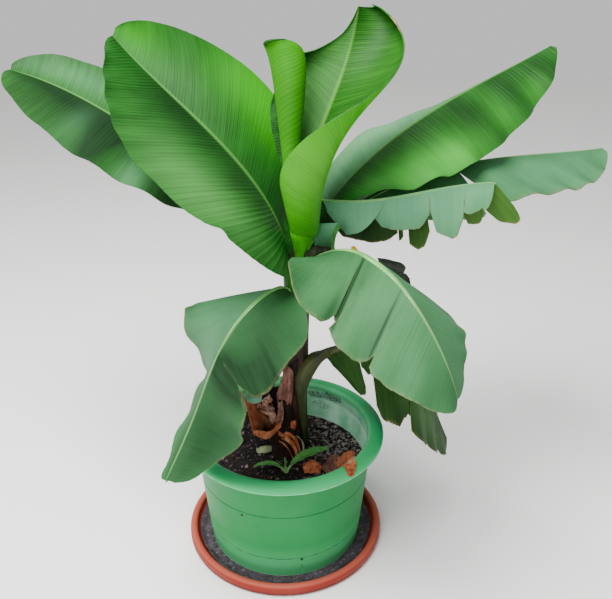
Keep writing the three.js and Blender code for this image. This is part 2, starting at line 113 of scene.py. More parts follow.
# Each leaf: where it starts, its two lengths and its angles at foot, neck, middle and tip, then its
# halves. Bend makes the stalk turn late. Ribs are the radii at foot, neck and tip, slim the share of them
# that shows above the blade. Gap is how far a tear opens, as a share of the blade; below 0, lobes overlap.
# Dry is the brown margin's width and fray the depth of its fraying. A half's outline is the skew and the
# fullness of its width, lift, curl and roll bend it across, and sweep carries its margin to the tip. Its
# relief is the height of its ridges, less beyond where it is calm, veins how far they slant to the tip,
# and waves the swing, pitch and phase of its long waves. Lobes: where each ends, its droop, and its reach
# along the way; leans slant the tears between them, and a notch is a place, a depth and a spread. Painted
# areas: where along and across, how far each way, and how strong; by_vein lays them along the veins. The
# shade areas are painted shade, the pale ones painted light, the glow ones painted light shining through
# the blade, and the drying ones the brown of dead tissue.
LEAVES = [
    dict(
        name="leaf_3", foot=(16, 12, 630), stalk=22, blade=408, finish="young", ribs=(11, 9, 1.6), slim=0.3,
        heading=(50, 32, 23, 42), pitch=(86, 83, 67, 79), twist=(-61, -39, -65),
        left=dict(
            width=203, lift=(43, 7, -4), curl=(505, 210, 143), roll=2.4, outline=(1.24, 0.93),
            sweep=(0.8, 0.5, -1), relief=0.08, veins=0.2, pale=[(0.6, 0.1, 0.5, 0.5, 0.2)],
            shade=[(0.75, 0.9, 0.45, 0.25, 0.35), (0.2, 0.6, 0.12, 0.5, 0.25),
                (0.38, 0.7, 0.14, 0.25, 0.5)],
            lobes=[(1, 0, 1, 1, 1, 1, 1, 1.02, 1.05, 1.08, 1.08, 1.06, 1.04, 0.98, 0.86, 0.78, 0.7,
                0.6, 0.47, 0.38, 0.24, 0.18, 0.15)],
        ),
        right=dict(
            width=204, lift=(27, 35, -29), curl=(316, 38, 281), roll=1.8, outline=(0.48, 0.29),
            sweep=(0.2, 0.4, 0.1), relief=0.35, calm=(0.55, 0.3), veins=0.1,
            shade=[(0.1, 0.6, 0.12, 0.5, 0.3)], pale=[(0.22, 0.8, 0.12, 0.3, 0.25)],
            drying=[(0.895, 1, 0.035, 0.1, 1.2)],
            lobes=[(1, 0, 1, 1, 1, 1, 1, 1, 1, 0.98, 0.92, 0.87, 0.87)],
        ),
    ),
    dict(
        name="leaf_2", height=600, azimuth=190, stalk=17, blade=505, finish="bright", slim=0.3,
        heading=(180, 177, 160, 159), pitch=(87, 81, 42, 45),
        left=dict(
            width=183, lift=(9, -7, 5), curl=(-7, -14, 3), outline=(0.69, 0.53), sweep=(-0.22, 0.15, -0.17),
            relief=0.8, veins=0.4, waves=(2.6, 75, 1.0), shade=[(0.68, 0.05, 0.26, 0.45, 0.8),
                (0.35, 0.1, 0.2, 0.3, 0.4), (0.97, 0.3, 0.06, 0.6, 0.3)],
            pale=[(0.36, 0.7, 0.2, 0.3, 0.45)], notches=[(0.235, 9, 0.02)],
        ),
        right=dict(
            width=141, lift=(12, 36, 54), curl=(-6, 16, 36), outline=(0.77, 0.54), sweep=(0.31, 0.08, 0.39),
            relief=0.15, veins=0.7, waves=(1.5, 90, 0), painted_glow=[(0.42, 0.95, 0.22, 0.42, 1.0),
                (0.93, 0.6, 0.08, 0.5, 0.5)], shade=[(0.2, 0.1, 0.2, 0.5, 0.5)],
            pale=[(0.7, 0.25, 0.16, 0.3, 0.08)],
        ),
    ),
    dict(
        name="leaf_1", height=585, azimuth=145, stalk=80, blade=641, finish="mid", slim=0.32,
        heading=(150, 157, 154, 156), pitch=(70, 35, 26, 8),
        left=dict(
            width=140, lift=(10, -4, -3), curl=(-9, -16, -11), relief=0.3, veins=-0.5, waves=(4, 105, 0),
            by_vein=True, shade=[(0.6, 0.0, 0.45, 0.4, 0.9), (0.565, 0.6, 0.05, 0.8, 1.0),
                (0.27, 0.8, 0.07, 0.9, 0.9), (0.75, 0.4, 0.35, 0.6, 0.55)],
            pale=[(0.66, 0.6, 0.04, 0.45, 0.12), (0.42, 0.85, 0.05, 0.4, 0.34)],
        ),
        right=dict(
            width=124, lift=(23, 9, 40), curl=(3, -4, 27), relief=0.25, veins=0.4, waves=(2, 110, 2),
            pale=[(0.75, 0.5, 0.2, 0.4, 0.25)], shade=[(0.95, 0.5, 0.07, 0.6, 0.4)],
        ),
    ),
    dict(
        name="leaf_4", height=610, azimuth=70, stalk=100, blade=578, finish="mid", slim=0.26,
        heading=(34, 19, 31, 22), pitch=(67, 53, 22, 23),
        left=dict(
            width=151, lift=(7, -15, -50), curl=(-11, -19, -36), relief=0.15, veins=0.3, waves=(2, 110, 0),
            pale=[(0.25, 0.5, 0.35, 0.8, 0.85)],
            lobes=[(1, 0, 1, 1, 1, 1, 0.8, 0.65, 0.6, 0.6, 0.6, 0.6, 0.6)],
        ),
        right=dict(
            width=129, lift=(1, -31, -10), curl=(-9, -30, -32), relief=0.5, veins=-0.1, waves=(8, 86, 2.4),
            shade=[(0.56, 0.4, 0.05, 0.9, 0.55), (0.73, 0.4, 0.05, 0.9, 0.65), (0.3, 0.05, 0.25, 0.3, 0.5),
                (0.9, 0.3, 0.08, 0.6, 0.4)], painted_glow=[(0.24, 0.75, 0.14, 0.4, 1.0), (0.4, 0.8, 0.12, 0.3, 0.6),
                (0.65, 0.8, 0.05, 0.5, 0.25), (0.8, 0.9, 0.05, 0.4, 0.3)],
            pale=[(0.24, 0.75, 0.12, 0.3, 0.3)], lobes=[(1, 0, 0.3, 0.88, 1, 1, 1, 1, 1, 1, 1, 1, 1)],
        ),
    ),
    dict(
        name="leaf_6", height=605, azimuth=8, stalk=135, bend=7, blade=303, finish="dusty", dry=0.35,
        fray=1.8, ribs=(7.5, 3.0, 1.0), slim=0.6, gap=0.002, heading=(32, 2, -16, -11),
        pitch=(90, -12, 15, 3),
        left=dict(
            width=108, lift=(-72, -80, -72), outline=(0.9, 0.35), sweep=(-0.1, -0.15, 0.75),
            relief=0.2, waves=(3, 60, 0), veins=0, shade=[(0.28, 0.8, 0.36, 2, 1.0)],
            lobes=[(0.45, 0, 0.2, 0.5, 0.8, 0.83, 0.8, 0.76), (0.475, 6, 0.92, 0.85), (0.5, 0, 0.4, 0.5),
                (0.6, -5, 0.95, 1, 0.98, 0.8), (0.76, 0, 0.45, 0.5), (0.85, 5, 0.9, 0.95, 0.85),
                (1, 0, 0.7, 1.1, 1.3, 1.6, 2)],
        ),
        right=dict(
            width=100, lift=(-61, -76, -60), outline=(1.4, 0.45), sweep=(0.1, -0.1, -0.1),
            relief=0.2, waves=(3, 60, 0), veins=0, leans=(-0.19, 0, 0),
            lobes=[(0.4, 0, 0.35, 1.0, 1.05, 1.08, 1.13, 1.19), (0.64, 0, 0.5, 0.6, 0.64, 0.645, 0.63, 0.5),
                (0.84, 0, 0.45, 0.75, 0.83, 0.9, 0.98, 1, 0.85),
                (1, 0, 0.68, 0.7, 0.72, 0.75, 0.8, 1.1, 1.4)], shade=[(0.24, 1.05, 0.17, 0.4, 0.95)],
            pale=[(0.2, 0.3, 0.3, 0.9, 0.85), (0.7, 0.4, 0.4, 0.9, 0.45)],
        ),
    ),
    dict(
        name="leaf_5", height=578, azimuth=42, stalk=135, blade=580, finish="dusty", dry=0.2, fray=1.4,
        slim=0.3, heading=(27, 23, 18, 19), pitch=(77, 31, 4, 2),
        left=dict(
            width=124, lift=(-20, -22, -60), curl=(0, 0, -12), relief=0.2, waves=(3, 80, 0),
            pale=[(0.8, 0.5, 0.3, 0.9, 0.25)], lobes=[(0.5, 0, 1, 1), (0.74, -14, 1, 1),
                (1, -35, 1.1, 1.3)],
        ),
        right=dict(
            width=134, lift=(-37, -25, -39), curl=(-15, 14, 10), outline=(1.1, 0.6), relief=0.2,
            waves=(4, 70, 0), lobes=[(0.41, -40, 1, 1), (1, 0, 1, 1)], pale=[(0.75, 0.5, 0.35, 0.9, 0.2)],
        ),
    ),
    dict(
        name="leaf_7", height=572, azimuth=-40, stalk=71, blade=432, finish="dusty", dry=0.18, fray=1.0,
        gap=-0.011, slim=0.75, heading=(-33, -49, -59, -37), pitch=(80, 36, -18, -73),
        left=dict(
            width=144, lift=(-35, -31, -16), curl=(-22, -9, 5), outline=(0.78, 0.57),
            sweep=(0.23, 0.37, 0.13), relief=0.15, waves=(2, 80, 0), pale=[(0.5, 0.5, 0.6, 0.9, 0.12)],
            lobes=[(0.26, -12, 1, 1), (0.46, -22, 1, 1), (1, 0, 1, 1)],
        ),
        right=dict(
            width=159, lift=(-3, -34, 0), curl=(7, -3, 15), outline=(0.38, 0.57), veins=0.05,
            sweep=(0.62, 0.61, 1), relief=0.15, waves=(3, 80, 0), shade=[(0.92, 0.5, 0.2, 0.9, 0.35),
                (0.324, 0.5, 0.009, 0.7, 1.2), (0.29, 0.9, 0.025, 0.4, 0.6), (0.36, 0.4, 0.03, 0.5, 0.35),
                (0.555, 0.6, 0.008, 0.6, 1.0), (0.53, 0.85, 0.04, 0.4, 0.5)],
            pale=[(0.75, 0.5, 0.3, 0.9, 0.06)], leans=(-0.01, -0.11, 0.015),
            lobes=[(0.315, 3, 1, 1, 1.01, 1.02, 1, 0.95, 0.8), (0.425, -3, 0.8, 0.8, 0.8),
                (0.57, -1, 0.96, 0.98, 1.01, 1.01, 1, 0.98, 0.9, 0.78),
                (1, 1, 1.03, 1.02, 1.03, 1.02, 1.01, 0.99, 0.96, 0.95, 0.95)],
        ),
    ),
    dict(
        name="leaf_8", height=535, azimuth=222, stalk=35, blade=446, finish="dusty", dry=0.15, fray=1.1,
        gap=0.001, slim=0.75, heading=(217, 253, 212, 255), pitch=(79, 37, -61, -24),
        left=dict(
            width=160, lift=(-25, -1, -29), curl=(-8, 9, -8), outline=(0.78, 0.6), veins=0.05,
            sweep=(0.63, 0.12, -0.19), relief=0.15, waves=(3, 85, 0), shade=[(0.24, 0.5, 0.2, 0.7, 0.75),
                (0.5, 0.3, 0.08, 0.6, 0.7), (0.8, 0.4, 0.32, 0.9, 0.85), (0.4, 1, 0.12, 0.45, 0.9)],
            lobes=[(0.47, 3, 1, 0.98, 1.05, 1.02, 1.01, 1.03, 1.05, 1.0, 0.6),
                (1, -3, 0.55, 0.88, 0.95, 0.95, 0.97, 0.96, 0.9, 0.9, 1, 1.3)],
        ),
        right=dict(
            width=220, lift=(-18, -29, -30), curl=(-1, -6, -13), outline=(0.74, 0.22), veins=0.05,
            sweep=(-0.08, 0.38, -0.18), relief=0.15, waves=(3, 85, 0),
            lobes=[(0.575, 0, 1.08, 1.08, 1.04, 1.05, 1.07, 1.06, 1.03, 1.0, 0.95),
                (1, 45, 0.22, 0.26, 0.24, 0.17, 0.12)], shade=[(0.85, 0.1, 0.3, 0.6, 0.6)],
            pale=[(0.3, 0.5, 0.2, 0.6, 0.25)],
        ),
    ),
    dict(
        name="leaf_9", height=335, azimuth=5, stalk=85, blade=414, finish="old", dry=0.3, fray=2.8,
        slim=0.7, ribs=(11, 9.5, 2), gap=0.003, heading=(5, 2, 10, 12), pitch=(90, 34, -50, -65),
        left=dict(
            width=105, lift=(-30, -40, -50), relief=0.25, waves=(2, 70, 0),
            lobes=[(0.4, 0, 1, 1), (0.7, -10, 1, 1), (1, 4, 1, 1)],
        ),
        right=dict(
            width=150, lift=(-61, -32, -28), curl=(-17, 9, 11), relief=0.25, waves=(3, 70, 0), veins=0,
            pale=[(0.65, 0.6, 0.2, 0.6, 0.35)], lobes=[(0.17, 0, 1.4, 1.3, 1.05, 0.8),
                (0.235, 0, 0.45, 0.5), (0.49, 0, 0.95, 1.02, 1, 1, 0.98, 0.8, 0.74),
                (0.64, 0, 0.98, 1.03, 1.05, 1.0), (0.8, -4, 0.98, 1.05, 1.02), (1, 0, 1, 1.05, 1.08)],
        ),
    ),
]

# The sucker's leaves rise from one foot on the soil, each with two like halves
SUCKER_FOOT = (5, -72, 193)
SUCKER_RIBS = (3.5, 2.2, 1.2)
SUCKER_THICKNESS = 0.9
SUCKER_HALVES = [
    dict(width=12, lift=(35, 15, 10), relief=0.2, waves=(0.8, 24, 0)),
    dict(width=6.5, lift=(35, 15, 10), relief=0.15, waves=(0.6, 20, 0)),
    dict(width=2.5, lift=(50, 40, 30), relief=0.1),
]
SUCKER_LEAVES = [
    dict(stalk=18, blade=84, heading=(40, 26, 22, 20), pitch=(70, 32, 12, -4)),
    dict(stalk=16, blade=56, heading=(160, 172, 180, 188), pitch=(70, 30, 0, -26)),
    dict(stalk=12, blade=20, heading=(110, 110, 110, 110), pitch=(85, 80, 78, 75)),
]

# Lines round the wall: height, half width, strength and colour; one under this half width is worn away
# in places. On the pot, in order: the foot painted lighter, painted light where shade falls there; dark
# lines along the two seams; a pale lime waterline; the rim's crown lighter, painted top light; a pale
# worn line along the rim's lower edge; a band under the rim painted darker, painted shadow. On the
# saucer: a lighter band on the lip, a painted highlight, and darker towards the bottom. Spots of dirt
# and algae: centre, squeeze each way, radius, strength and how broken up
WIDE_LINE = 5
POT_DIRT_AND_PAINTED_LIGHT = dict(
    lines=[(0, 85, 0.85, "#469f66"), (165.3, 1.5, 0.75, "#0c4a26"), (54.8, 1.7, 0.9, "#0c4a26"),
           (8.5, 1.3, 0.5, "#b8d8c0"), (251, 16, 0.85, "#34ac68"), (243.8, 1.1, 0.45, "#a8e8c0"),
           (230, 9, 0.3, "#0c4a24")],
    spots=[((66, 154, 231), (0.6, 0.6, 1.5), 30, 0.7, 0.4), ((100, 132, 236), (0.6, 0.6, 1.5), 34, 0.8, 0.38),
           ((80, 148, 208), (0.6, 0.6, 1.5), 34, 0.5, 0.42), ((-77, -152, 157), (1, 1, 1), 4.5, 1, 0.2),
           ((36, -156, 51), (1, 1, 1), 4.5, 1, 0.2), ((36, -154, 34), (3, 3, 0.35), 7, 0.8, 0.35),
           ((141, -93, 140), (1, 1, 1), 3.5, 1, 0.2)])
SAUCER_HIGHLIGHT_AND_DARK_BASE = dict(lines=[(25, 5, 0.3, "#c8705a"), (4, 8, 0.6, "#4a1410")], spots=[])

# Small sheets, each a table of points that it passes through, row by row. At the crown, each also has its
# surface, its slot and how much paler its top is painted, painted light
CROWN_FOLDS = [
    ("leaf_6_base_fold", "dusty", "leaf_dusty", 0.9, [
        [(53, -30, 688), (68, -38, 695), (85, -42, 697), (101, -40, 697)],
        [(54, -24, 673), (68, -30, 677), (84, -34, 681), (94, -34, 677)],
        [(58, -18, 655), (70, -22, 656), (83, -26, 658), (91, -26, 656)],
        [(62, -10, 635), (73, -14, 634), (83, -18, 636), (90, -18, 640)]]),
    ("leaf_6_base_edge", "shoot", "leaf_dusty", 0, [
        [(103, -44, 692), (99, -42, 699)], [(97, -43, 679), (91, -41, 682)],
        [(94, -39, 664), (88, -37, 664)], [(94, -34, 646), (89, -30, 643)]]),
    ("leaf_4_base_sheet", "mid", "leaf_mid", 0.5, [
        [(64, 16, 716), (79, 16, 717), (99, 14, 718)], [(64, 14, 698), (81, 14, 698), (101, 12, 700)],
        [(62, 12, 678), (80, 12, 676), (101, 10, 679)]]),
    ("leaf_2_base_sheet", "bright", "leaf_bright", 0, [
        [(5, -12, 693), (14, -16, 695), (23, -18, 695)], [(7, -10, 655), (19, -16, 658), (32, -16, 658)],
        [(8, -8, 622), (26, -14, 623), (40, -12, 622)], [(15, -6, 596), (28, -10, 596), (40, -8, 597)]]),
    ("leaf_3_back_fold", "mid", "leaf_young", 0, [
        [(-10, 46, 902), (-5, 44, 902), (2, 40, 903)], [(-17, 46, 879), (-6, 44, 883), (7, 38, 887)],
        [(-16, 38, 850), (-6, 34, 852), (8, 26, 856)], [(-8, 28, 812), (1, 24, 815), (11, 16, 819)],
        [(4, 16, 775), (9, 14, 776), (15, 8, 779)]]),
    ("old_crown_sheaths", "bark", "stem_sheath", 0, [
        [(42, -12, 645), (58, -16, 648), (78, -20, 648), (95, -24, 644)],
        [(40, -16, 631), (58, -22, 637), (79, -26, 641), (100, -28, 641)],
        [(40, -12, 614), (58, -18, 621), (80, -22, 628), (104, -26, 631)],
        [(40, -6, 592), (58, -10, 602), (80, -14, 611), (98, -18, 617)]]),
    ("leaf_7_yellowed_bit", "yellow", "leaf_old", 0, [
        [(121, -56, 658), (126, -58, 662), (133, -60, 655)],
        [(125, -58, 651), (128, -60, 648), (133, -60, 646)]]),
    # Leaf_7's curled edges, near black: painted shade
    ("leaf_7_curled_edge_1", "dark", "leaf_dusty", 0, [
        [(166, -66, 643), (187, -74, 643), (206, -82, 640), (213, -86, 633)],
        [(169, -72, 636), (188, -80, 632), (205, -88, 628), (209, -92, 626)],
        [(171, -84, 630), (186, -94, 627), (198, -104, 622), (204, -108, 618)]]),
    ("leaf_7_curled_edge_2", "dark", "leaf_dusty", 0, [
        [(200, -98, 625), (210, -100, 629), (218, -104, 620)],
        [(200, -102, 617), (210, -106, 617), (220, -108, 609)],
        [(205, -110, 612), (213, -112, 609), (220, -112, 602)]]),
]
# Leaf_3's rolled base and a narrow strand beside it: rings, each a centre and two radii
ROLLED_BASES = [
    [((38, -22, 692), 21, 32), ((37, -21, 672), 20, 31), ((35, -18, 652), 14, 20), ((33, -15, 634), 9, 11),
     ((32, -13, 616), 6, 7)],
    [((53, -24, 684), 7, 14), ((52, -20, 670), 7, 12), ((50, -15, 655), 6, 9), ((47, -11, 638), 4.5, 6),
     ((44, -8, 620), 3.5, 4)],
]
# The withered sheath, from its upper edge down, and the painted shade in its hollow
DRY_SCOOP = [
    [(-84, -22, 354), (-70, -14, 319), (-53, -4, 310), (-35, -2, 316), (-23, -6, 309)],
    [(-75, -24, 323), (-63, -10, 295), (-48, 0, 286), (-32, 0, 286), (-18, -10, 293)],
    [(-66, -28, 286), (-56, -14, 275), (-42, -6, 269), (-26, -6, 269), (-14, -14, 277)],
    [(-63, -32, 268), (-51, -26, 258), (-40, -22, 252), (-26, -22, 254), (-12, -22, 268)],
    [(-61, -36, 266), (-50, -42, 271), (-36, -44, 270), (-21, -42, 273), (-7, -34, 286)],
    [(-59, -38, 260), (-48, -46, 259), (-34, -48, 257), (-19, -46, 265), (-5, -36, 278)],
    [(-53, -34, 257), (-43, -38, 253), (-33, -40, 255), (-19, -38, 263), (-7, -32, 273)],
]
SCOOP_SHADE = [(0.47, 0.55, 0.11, 0.3, 0.8), (0.3, 0.85, 0.2, 0.2, 0.7), (0.1, 0.65, 0.16, 0.35, 0.5)]
# The edge of the withered sheath that is folded out towards the stem
SCOOP_FLANGE = [
    [(-13, -10, 328), (-3, -16, 327), (-5, -20, 323)], [(-11, -14, 305), (-1, -20, 307), (-5, -24, 305)],
    [(-14, -18, 284), (-1, -24, 288), (-7, -28, 286)], [(-16, -24, 269), (-5, -30, 276), (-11, -34, 272)],
]
DRY_CURLS = [
    [[(-43, -12, 322), (-32, -14, 333), (-28, -16, 337)],
     [(-41, -16, 313), (-28, -22, 327), (-24, -20, 332)],
     [(-35, -12, 311), (-25, -14, 319), (-21, -14, 324)]],
    [[(-47, -8, 301), (-33, -12, 302), (-19, -12, 297)],
     [(-47, -16, 299), (-33, -20, 297), (-17, -18, 294)],
     [(-43, -10, 293), (-32, -12, 287), (-16, -10, 286)]],
    [[(-30, -14, 286), (-23, -18, 294), (-17, -18, 298)],
     [(-27, -20, 279), (-21, -24, 286), (-15, -24, 293)],
     [(-24, -14, 267), (-18, -16, 273), (-14, -14, 282)]],
    [[(-51, -8, 311), (-35, -10, 310), (-19, -12, 304)],
     [(-53, -12, 306), (-35, -16, 304), (-17, -16, 302)]],
]
STEM_PLATES = [
    [[(3, -10, 394), (11, -12, 399), (19, -12, 386)], [(-6, -14, 365), (7, -18, 371), (19, -14, 360)],
     [(-13, -14, 338), (5, -18, 341), (17, -14, 333)], [(-11, -12, 316), (3, -16, 316), (14, -12, 311)]],
]
# Near-black plates. The first one is a backing behind the curls, painted shade, so that no light
# shows between them
DARK_PLATES = [
    [[(-30, 6, 339), (-14, 5, 345), (7, 5, 349)], [(-44, 8, 316), (-26, 8, 312), (7, 5, 312)],
     [(-45, 8, 271), (-25, 8, 271), (6, 5, 271)]],
    [[(-15, -12, 321), (1, -16, 327), (12, -14, 321)], [(-10, -14, 292), (5, -18, 296), (16, -14, 294)],
     [(-12, -14, 266), (8, -20, 264), (18, -14, 266)]],
    [[(15, -6, 406), (25, -8, 412), (31, -6, 415)], [(11, -7, 384), (21, -10, 386), (28, -7, 388)],
     [(13, -8, 350), (19, -11, 348), (26, -8, 346)], [(12, -9, 312), (20, -12, 308), (30, -8, 306)],
     [(14, -8, 270), (22, -11, 266), (32, -7, 262)]],
    [[(-22, -8, 276), (4, -16, 286), (28, -8, 282)], [(-22, -16, 243), (4, -22, 250), (32, -12, 247)],
     [(-27, -14, 194), (3, -25, 194), (36, -6, 194)]],
]
DRY_STRIPS = [
    [[(6, -16, 277), (24, -14, 275)], [(0, -20, 262), (24, -18, 264)], [(6, -18, 251), (20, -16, 251)]],
    [[(-12, -20, 254), (-10, -20, 241)], [(2, -23, 248), (0, -24, 237)], [(14, -24, 236), (12, -25, 227)],
     [(24, -26, 220), (20, -28, 214)], [(28, -28, 196), (24, -31, 196)]],
    [[(-2, -22, 250), (4, -22, 256)], [(10, -23, 244), (14, -23, 250)], [(22, -22, 230), (26, -20, 234)],
     [(30, -14, 196), (34, -12, 196)]],
    [[(-10, -24, 234), (-2, -26, 230)], [(6, -28, 221), (10, -30, 216)], [(18, -30, 196), (20, -38, 196)]],
]
PALE_STRANDS = [
    [[(24, -16, 241), (26, -16, 239)], [(32, -14, 232), (34, -14, 230)], [(37, -14, 217), (40, -14, 217)],
     [(38, -13, 196), (40, -13, 196)]],
    [[(-58, -6, 200), (-56, -12, 196)], [(-45, -4, 206), (-40, -16, 198)], [(-27, 0, 203), (-26, -8, 196)]],
]
SCRAP_LEFT = [
    [(38, -54, 199), (54, -46, 204), (72, -57, 200)], [(38, -68, 204), (56, -64, 211), (75, -68, 205)],
    [(41, -79, 197), (55, -83, 200), (72, -79, 197)],
]
SCRAP_RIGHT = [
    [(80, -58, 199), (90, -42, 208), (104, -38, 212)], [(79, -70, 200), (92, -60, 210), (110, -54, 212)],
    [(84, -82, 197), (96, -80, 200), (108, -74, 200)],
]
SCRAP_FOLD = [
    [(104, -46, 206), (122, -46, 222), (139, -52, 232)],
    [(104, -76, 212), (121, -84, 236), (138, -90, 247)],
    [(108, -106, 230), (124, -118, 252), (137, -118, 258)],
    [(112, -128, 256), (124, -136, 259), (137, -132, 259)],
    [(117, -145, 257), (125, -150, 256), (134, -146, 256)],
    [(120, -156, 253), (126, -158, 252), (131, -156, 253)],
]
LEAF_9_CLASP = [
    [(75, 14, 420), (83, 4, 426), (91, 14, 407)], [(54, 6, 418), (67, -6, 418), (75, 8, 397)],
    [(38, -2, 405), (50, -10, 400), (62, 4, 377)], [(25, -6, 380), (38, -14, 374), (48, 2, 346)],
    [(21, -8, 352), (34, -16, 343), (44, 0, 315)], [(24, -6, 314), (34, -12, 304), (44, 0, 286)],
    [(30, -3, 274), (36, -7, 263), (44, 1, 247)], [(34, 0, 238), (40, -2, 230), (45, 3, 221)],
    [(34, 2, 202), (40, 0, 199), (46, 4, 194)],
]
# Painted shade on leaf_9's sheath: darker towards its foot and along one edge
CLASP_SHADE = [(1, 0.5, 0.22, 2, 0.9), (0.45, 0, 0.5, 0.12, 0.3)]

# What lies in and beside the withered sheath: name, sheets, tissue and how crinkled
DRY_BITS = [
    ("dry_sheath_curls", DRY_CURLS + [SCOOP_FLANGE], "curled", 1.0),
    ("old_sheath_plates", STEM_PLATES, "dead", 1.2),
    ("rotten_plates_and_shade_backing", DARK_PLATES, "rotten", 2.2),
    ("dry_sheath_strips", DRY_STRIPS, "dry", 1.2),
    ("dry_sheath_strands", PALE_STRANDS, "pale", 0.8),
]
SCRAPS = [
    ("dry_scrap_left_flake", SCRAP_LEFT, "dry", ["dry_scrap_left"]),
    ("dry_scrap_right_flake", SCRAP_RIGHT, "dead", ["dry_scrap_right"]),
    ("dry_scrap_right_fold", SCRAP_FOLD, "dry", []),
]


# ---- curves and noise ----

def lerp(low, high, share):
    return low + (high - low) * share


def through(values, share):
    """Smooth curve through three values at 0, 1/2 and 1."""
    first, middle, last = values
    return (first * (1 - share) * (1 - 2 * share) + middle * 4 * share * (1 - share)
            + last * share * (2 * share - 1))


def smooth(low, high, value):
    """Goes from 0 at low to 1 at high."""
    share = np.clip((value - low) / (high - low), 0, 1)
    return share * share * (3 - 2 * share)


def ripple(place, seed):
    """Smooth random swing from -1 to 1 along a line, one turn for each unit."""
    table = np.random.default_rng(seed).uniform(-1, 1, 256)
    cell = np.floor(place).astype(int)
    return lerp(table[cell % 256], table[(cell + 1) % 256], smooth(0, 1, place - cell))


def dapple(across, along, seed):
    """Smooth random swing from -1 to 1 over a surface, one hill for each unit."""
    table = np.random.default_rng(seed).uniform(-1, 1, (64, 64))
    column, row = np.floor(across).astype(int), np.floor(along).astype(int)
    share = smooth(0, 1, across - column)
    near = lerp(table[column % 64, row % 64], table[(column + 1) % 64, row % 64], share)
    far = lerp(table[column % 64, (row + 1) % 64], table[(column + 1) % 64, (row + 1) % 64], share)
    return lerp(near, far, smooth(0, 1, along - row))


def between_knots(knots, step, last, share):
    """Smooth curve through knots, given a picker of the knot at each step."""
    before, first, second, after = [knots(np.clip(step + offset, 0, last)) for offset in (-1, 0, 1, 2)]
    return first + 0.5 * share * (second - before + share * (
        2 * before - 5 * first + 4 * second - after + share * (3 * (first - second) + after - before)))


def through_table(table, down, across):
    """Points of a smooth sheet through a table of points, row by row."""
    table = np.array(table, float)
    last_row, last_column = len(table) - 1, len(table[0]) - 1
    row, column = down * last_row, across * last_column
    row_step = np.minimum(row.astype(int), last_row - 1)
    column_step = np.minimum(column.astype(int), last_column - 1)
    rows = between_knots(lambda step: table[step], row_step, last_row, (row - row_step)[:, None, None])
    each = np.arange(len(down))
    share = (column - column_step)[:, None]
    return between_knots(lambda step: rows[each, step], column_step, last_column, share)


def direction(heading, pitch):
    heading, pitch = np.radians(heading), np.radians(pitch)
    flat = np.cos(pitch)
    return np.stack([flat * np.cos(heading), flat * np.sin(heading), np.sin(pitch)], axis=-1)


def around_axis(radius, angle, height=0):
    """Points round an upright axis."""
    return np.stack([radius * np.cos(angle), radius * np.sin(angle), height + 0 * angle], axis=1)


def turn_about(vectors, axes, angle):
    cosine, sine = np.cos(angle)[:, None], np.sin(angle)[:, None]
    shared = np.sum(axes * vectors, axis=1, keepdims=True)
    return vectors * cosine + np.cross(axes, vectors) * sine + axes * shared * (1 - cosine)


# ---- meshes ----

def only(piece):
    """Select this piece alone and make it active."""
    bpy.ops.object.select_all(action="DESELECT")
    piece.select_set(True)
    bpy.context.view_layer.objects.active = piece


def edit_all(piece, *steps):
    """Run edit mode steps with the whole piece selected."""
    only(piece)
    bpy.ops.object.mode_set(mode="EDIT")
    for step in steps:
        bpy.ops.mesh.select_all(action="SELECT")
        step()
    bpy.ops.object.mode_set(mode="OBJECT")


def named(name):
    piece = bpy.context.object
    piece.name = name
    piece.data.name = name
    return piece


def new_grid(name, rows, columns):
    """A flat grid, and each of its points' shares from 0 to 1 along and across."""
    bpy.ops.object.select_all(action="DESELECT")
    bpy.ops.mesh.primitive_grid_add(x_subdivisions=rows, y_subdivisions=columns, size=1, location=(0, 0, 0))
    piece = named(name)
    shares = read_points(piece)[:, :2] + 0.5
    return piece, shares[:, 0], shares[:, 1]


def read_points(piece):
    flat = np.empty(3 * len(piece.data.vertices))
    piece.data.vertices.foreach_get("co", flat)
    return flat.reshape(-1, 3)


def place_points(piece, points):
    """Move the piece's points, given in millimetres."""
    piece.data.vertices.foreach_set("co", (points * MM).ravel())
    piece.data.update()


def map_surface(piece, along, across):
    """The piece's own map, in metres along and across its surface."""
    corners = np.empty(len(piece.data.loops), dtype=int)
    piece.data.loops.foreach_get("vertex_index", corners)
    layer = piece.data.uv_layers.active
    layer.name = "surface"
    pairs = np.stack([along[corners], across[corners]], axis=1) * MM
    layer.data.foreach_set("uv", pairs.ravel())


def paint(piece, name, values):
    """Keep a value from 0 to 1 at each point, for a material to read."""
    layer = piece.data.attributes.new(name, "FLOAT", "POINT")
    layer.data.foreach_set("value", np.clip(values, 0, 1).astype(np.float32))


def join(name, parts):
    only(parts[0])
    for part in parts[1:]:
        part.select_set(True)
    if len(parts) > 1:
        bpy.ops.object.join()
    return named(name)


def apply_modifier(piece, kind, **settings):
    only(piece)
    modifier = piece.modifiers.new(kind.lower(), kind)
    for key, value in settings.items():
        setattr(modifier, key, value)
    bpy.ops.object.modifier_apply(modifier=modifier.name)


def soften(piece, degrees=40):
    only(piece)
    bpy.ops.object.shade_smooth_by_angle(angle=math.radians(degrees))


def thicken(piece, thickness, offset=0, next_material=0):
    """Give a sheet its thickness, half to each side. With next_material 1, its lower face takes that one."""
    apply_modifier(piece, "SOLIDIFY", thickness=thickness * MM, offset=offset, material_offset=next_material)
    soften(piece)


def dress(piece, *materials):
    piece.data.materials.clear()
    for material in materials:
        piece.data.materials.append(material)


def attach(piece, slot, *nodes):
    """The piece stands for these nodes, if any. The slot is not used."""
    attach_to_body(piece, "root")
    if nodes:
        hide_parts(*nodes)
    return piece


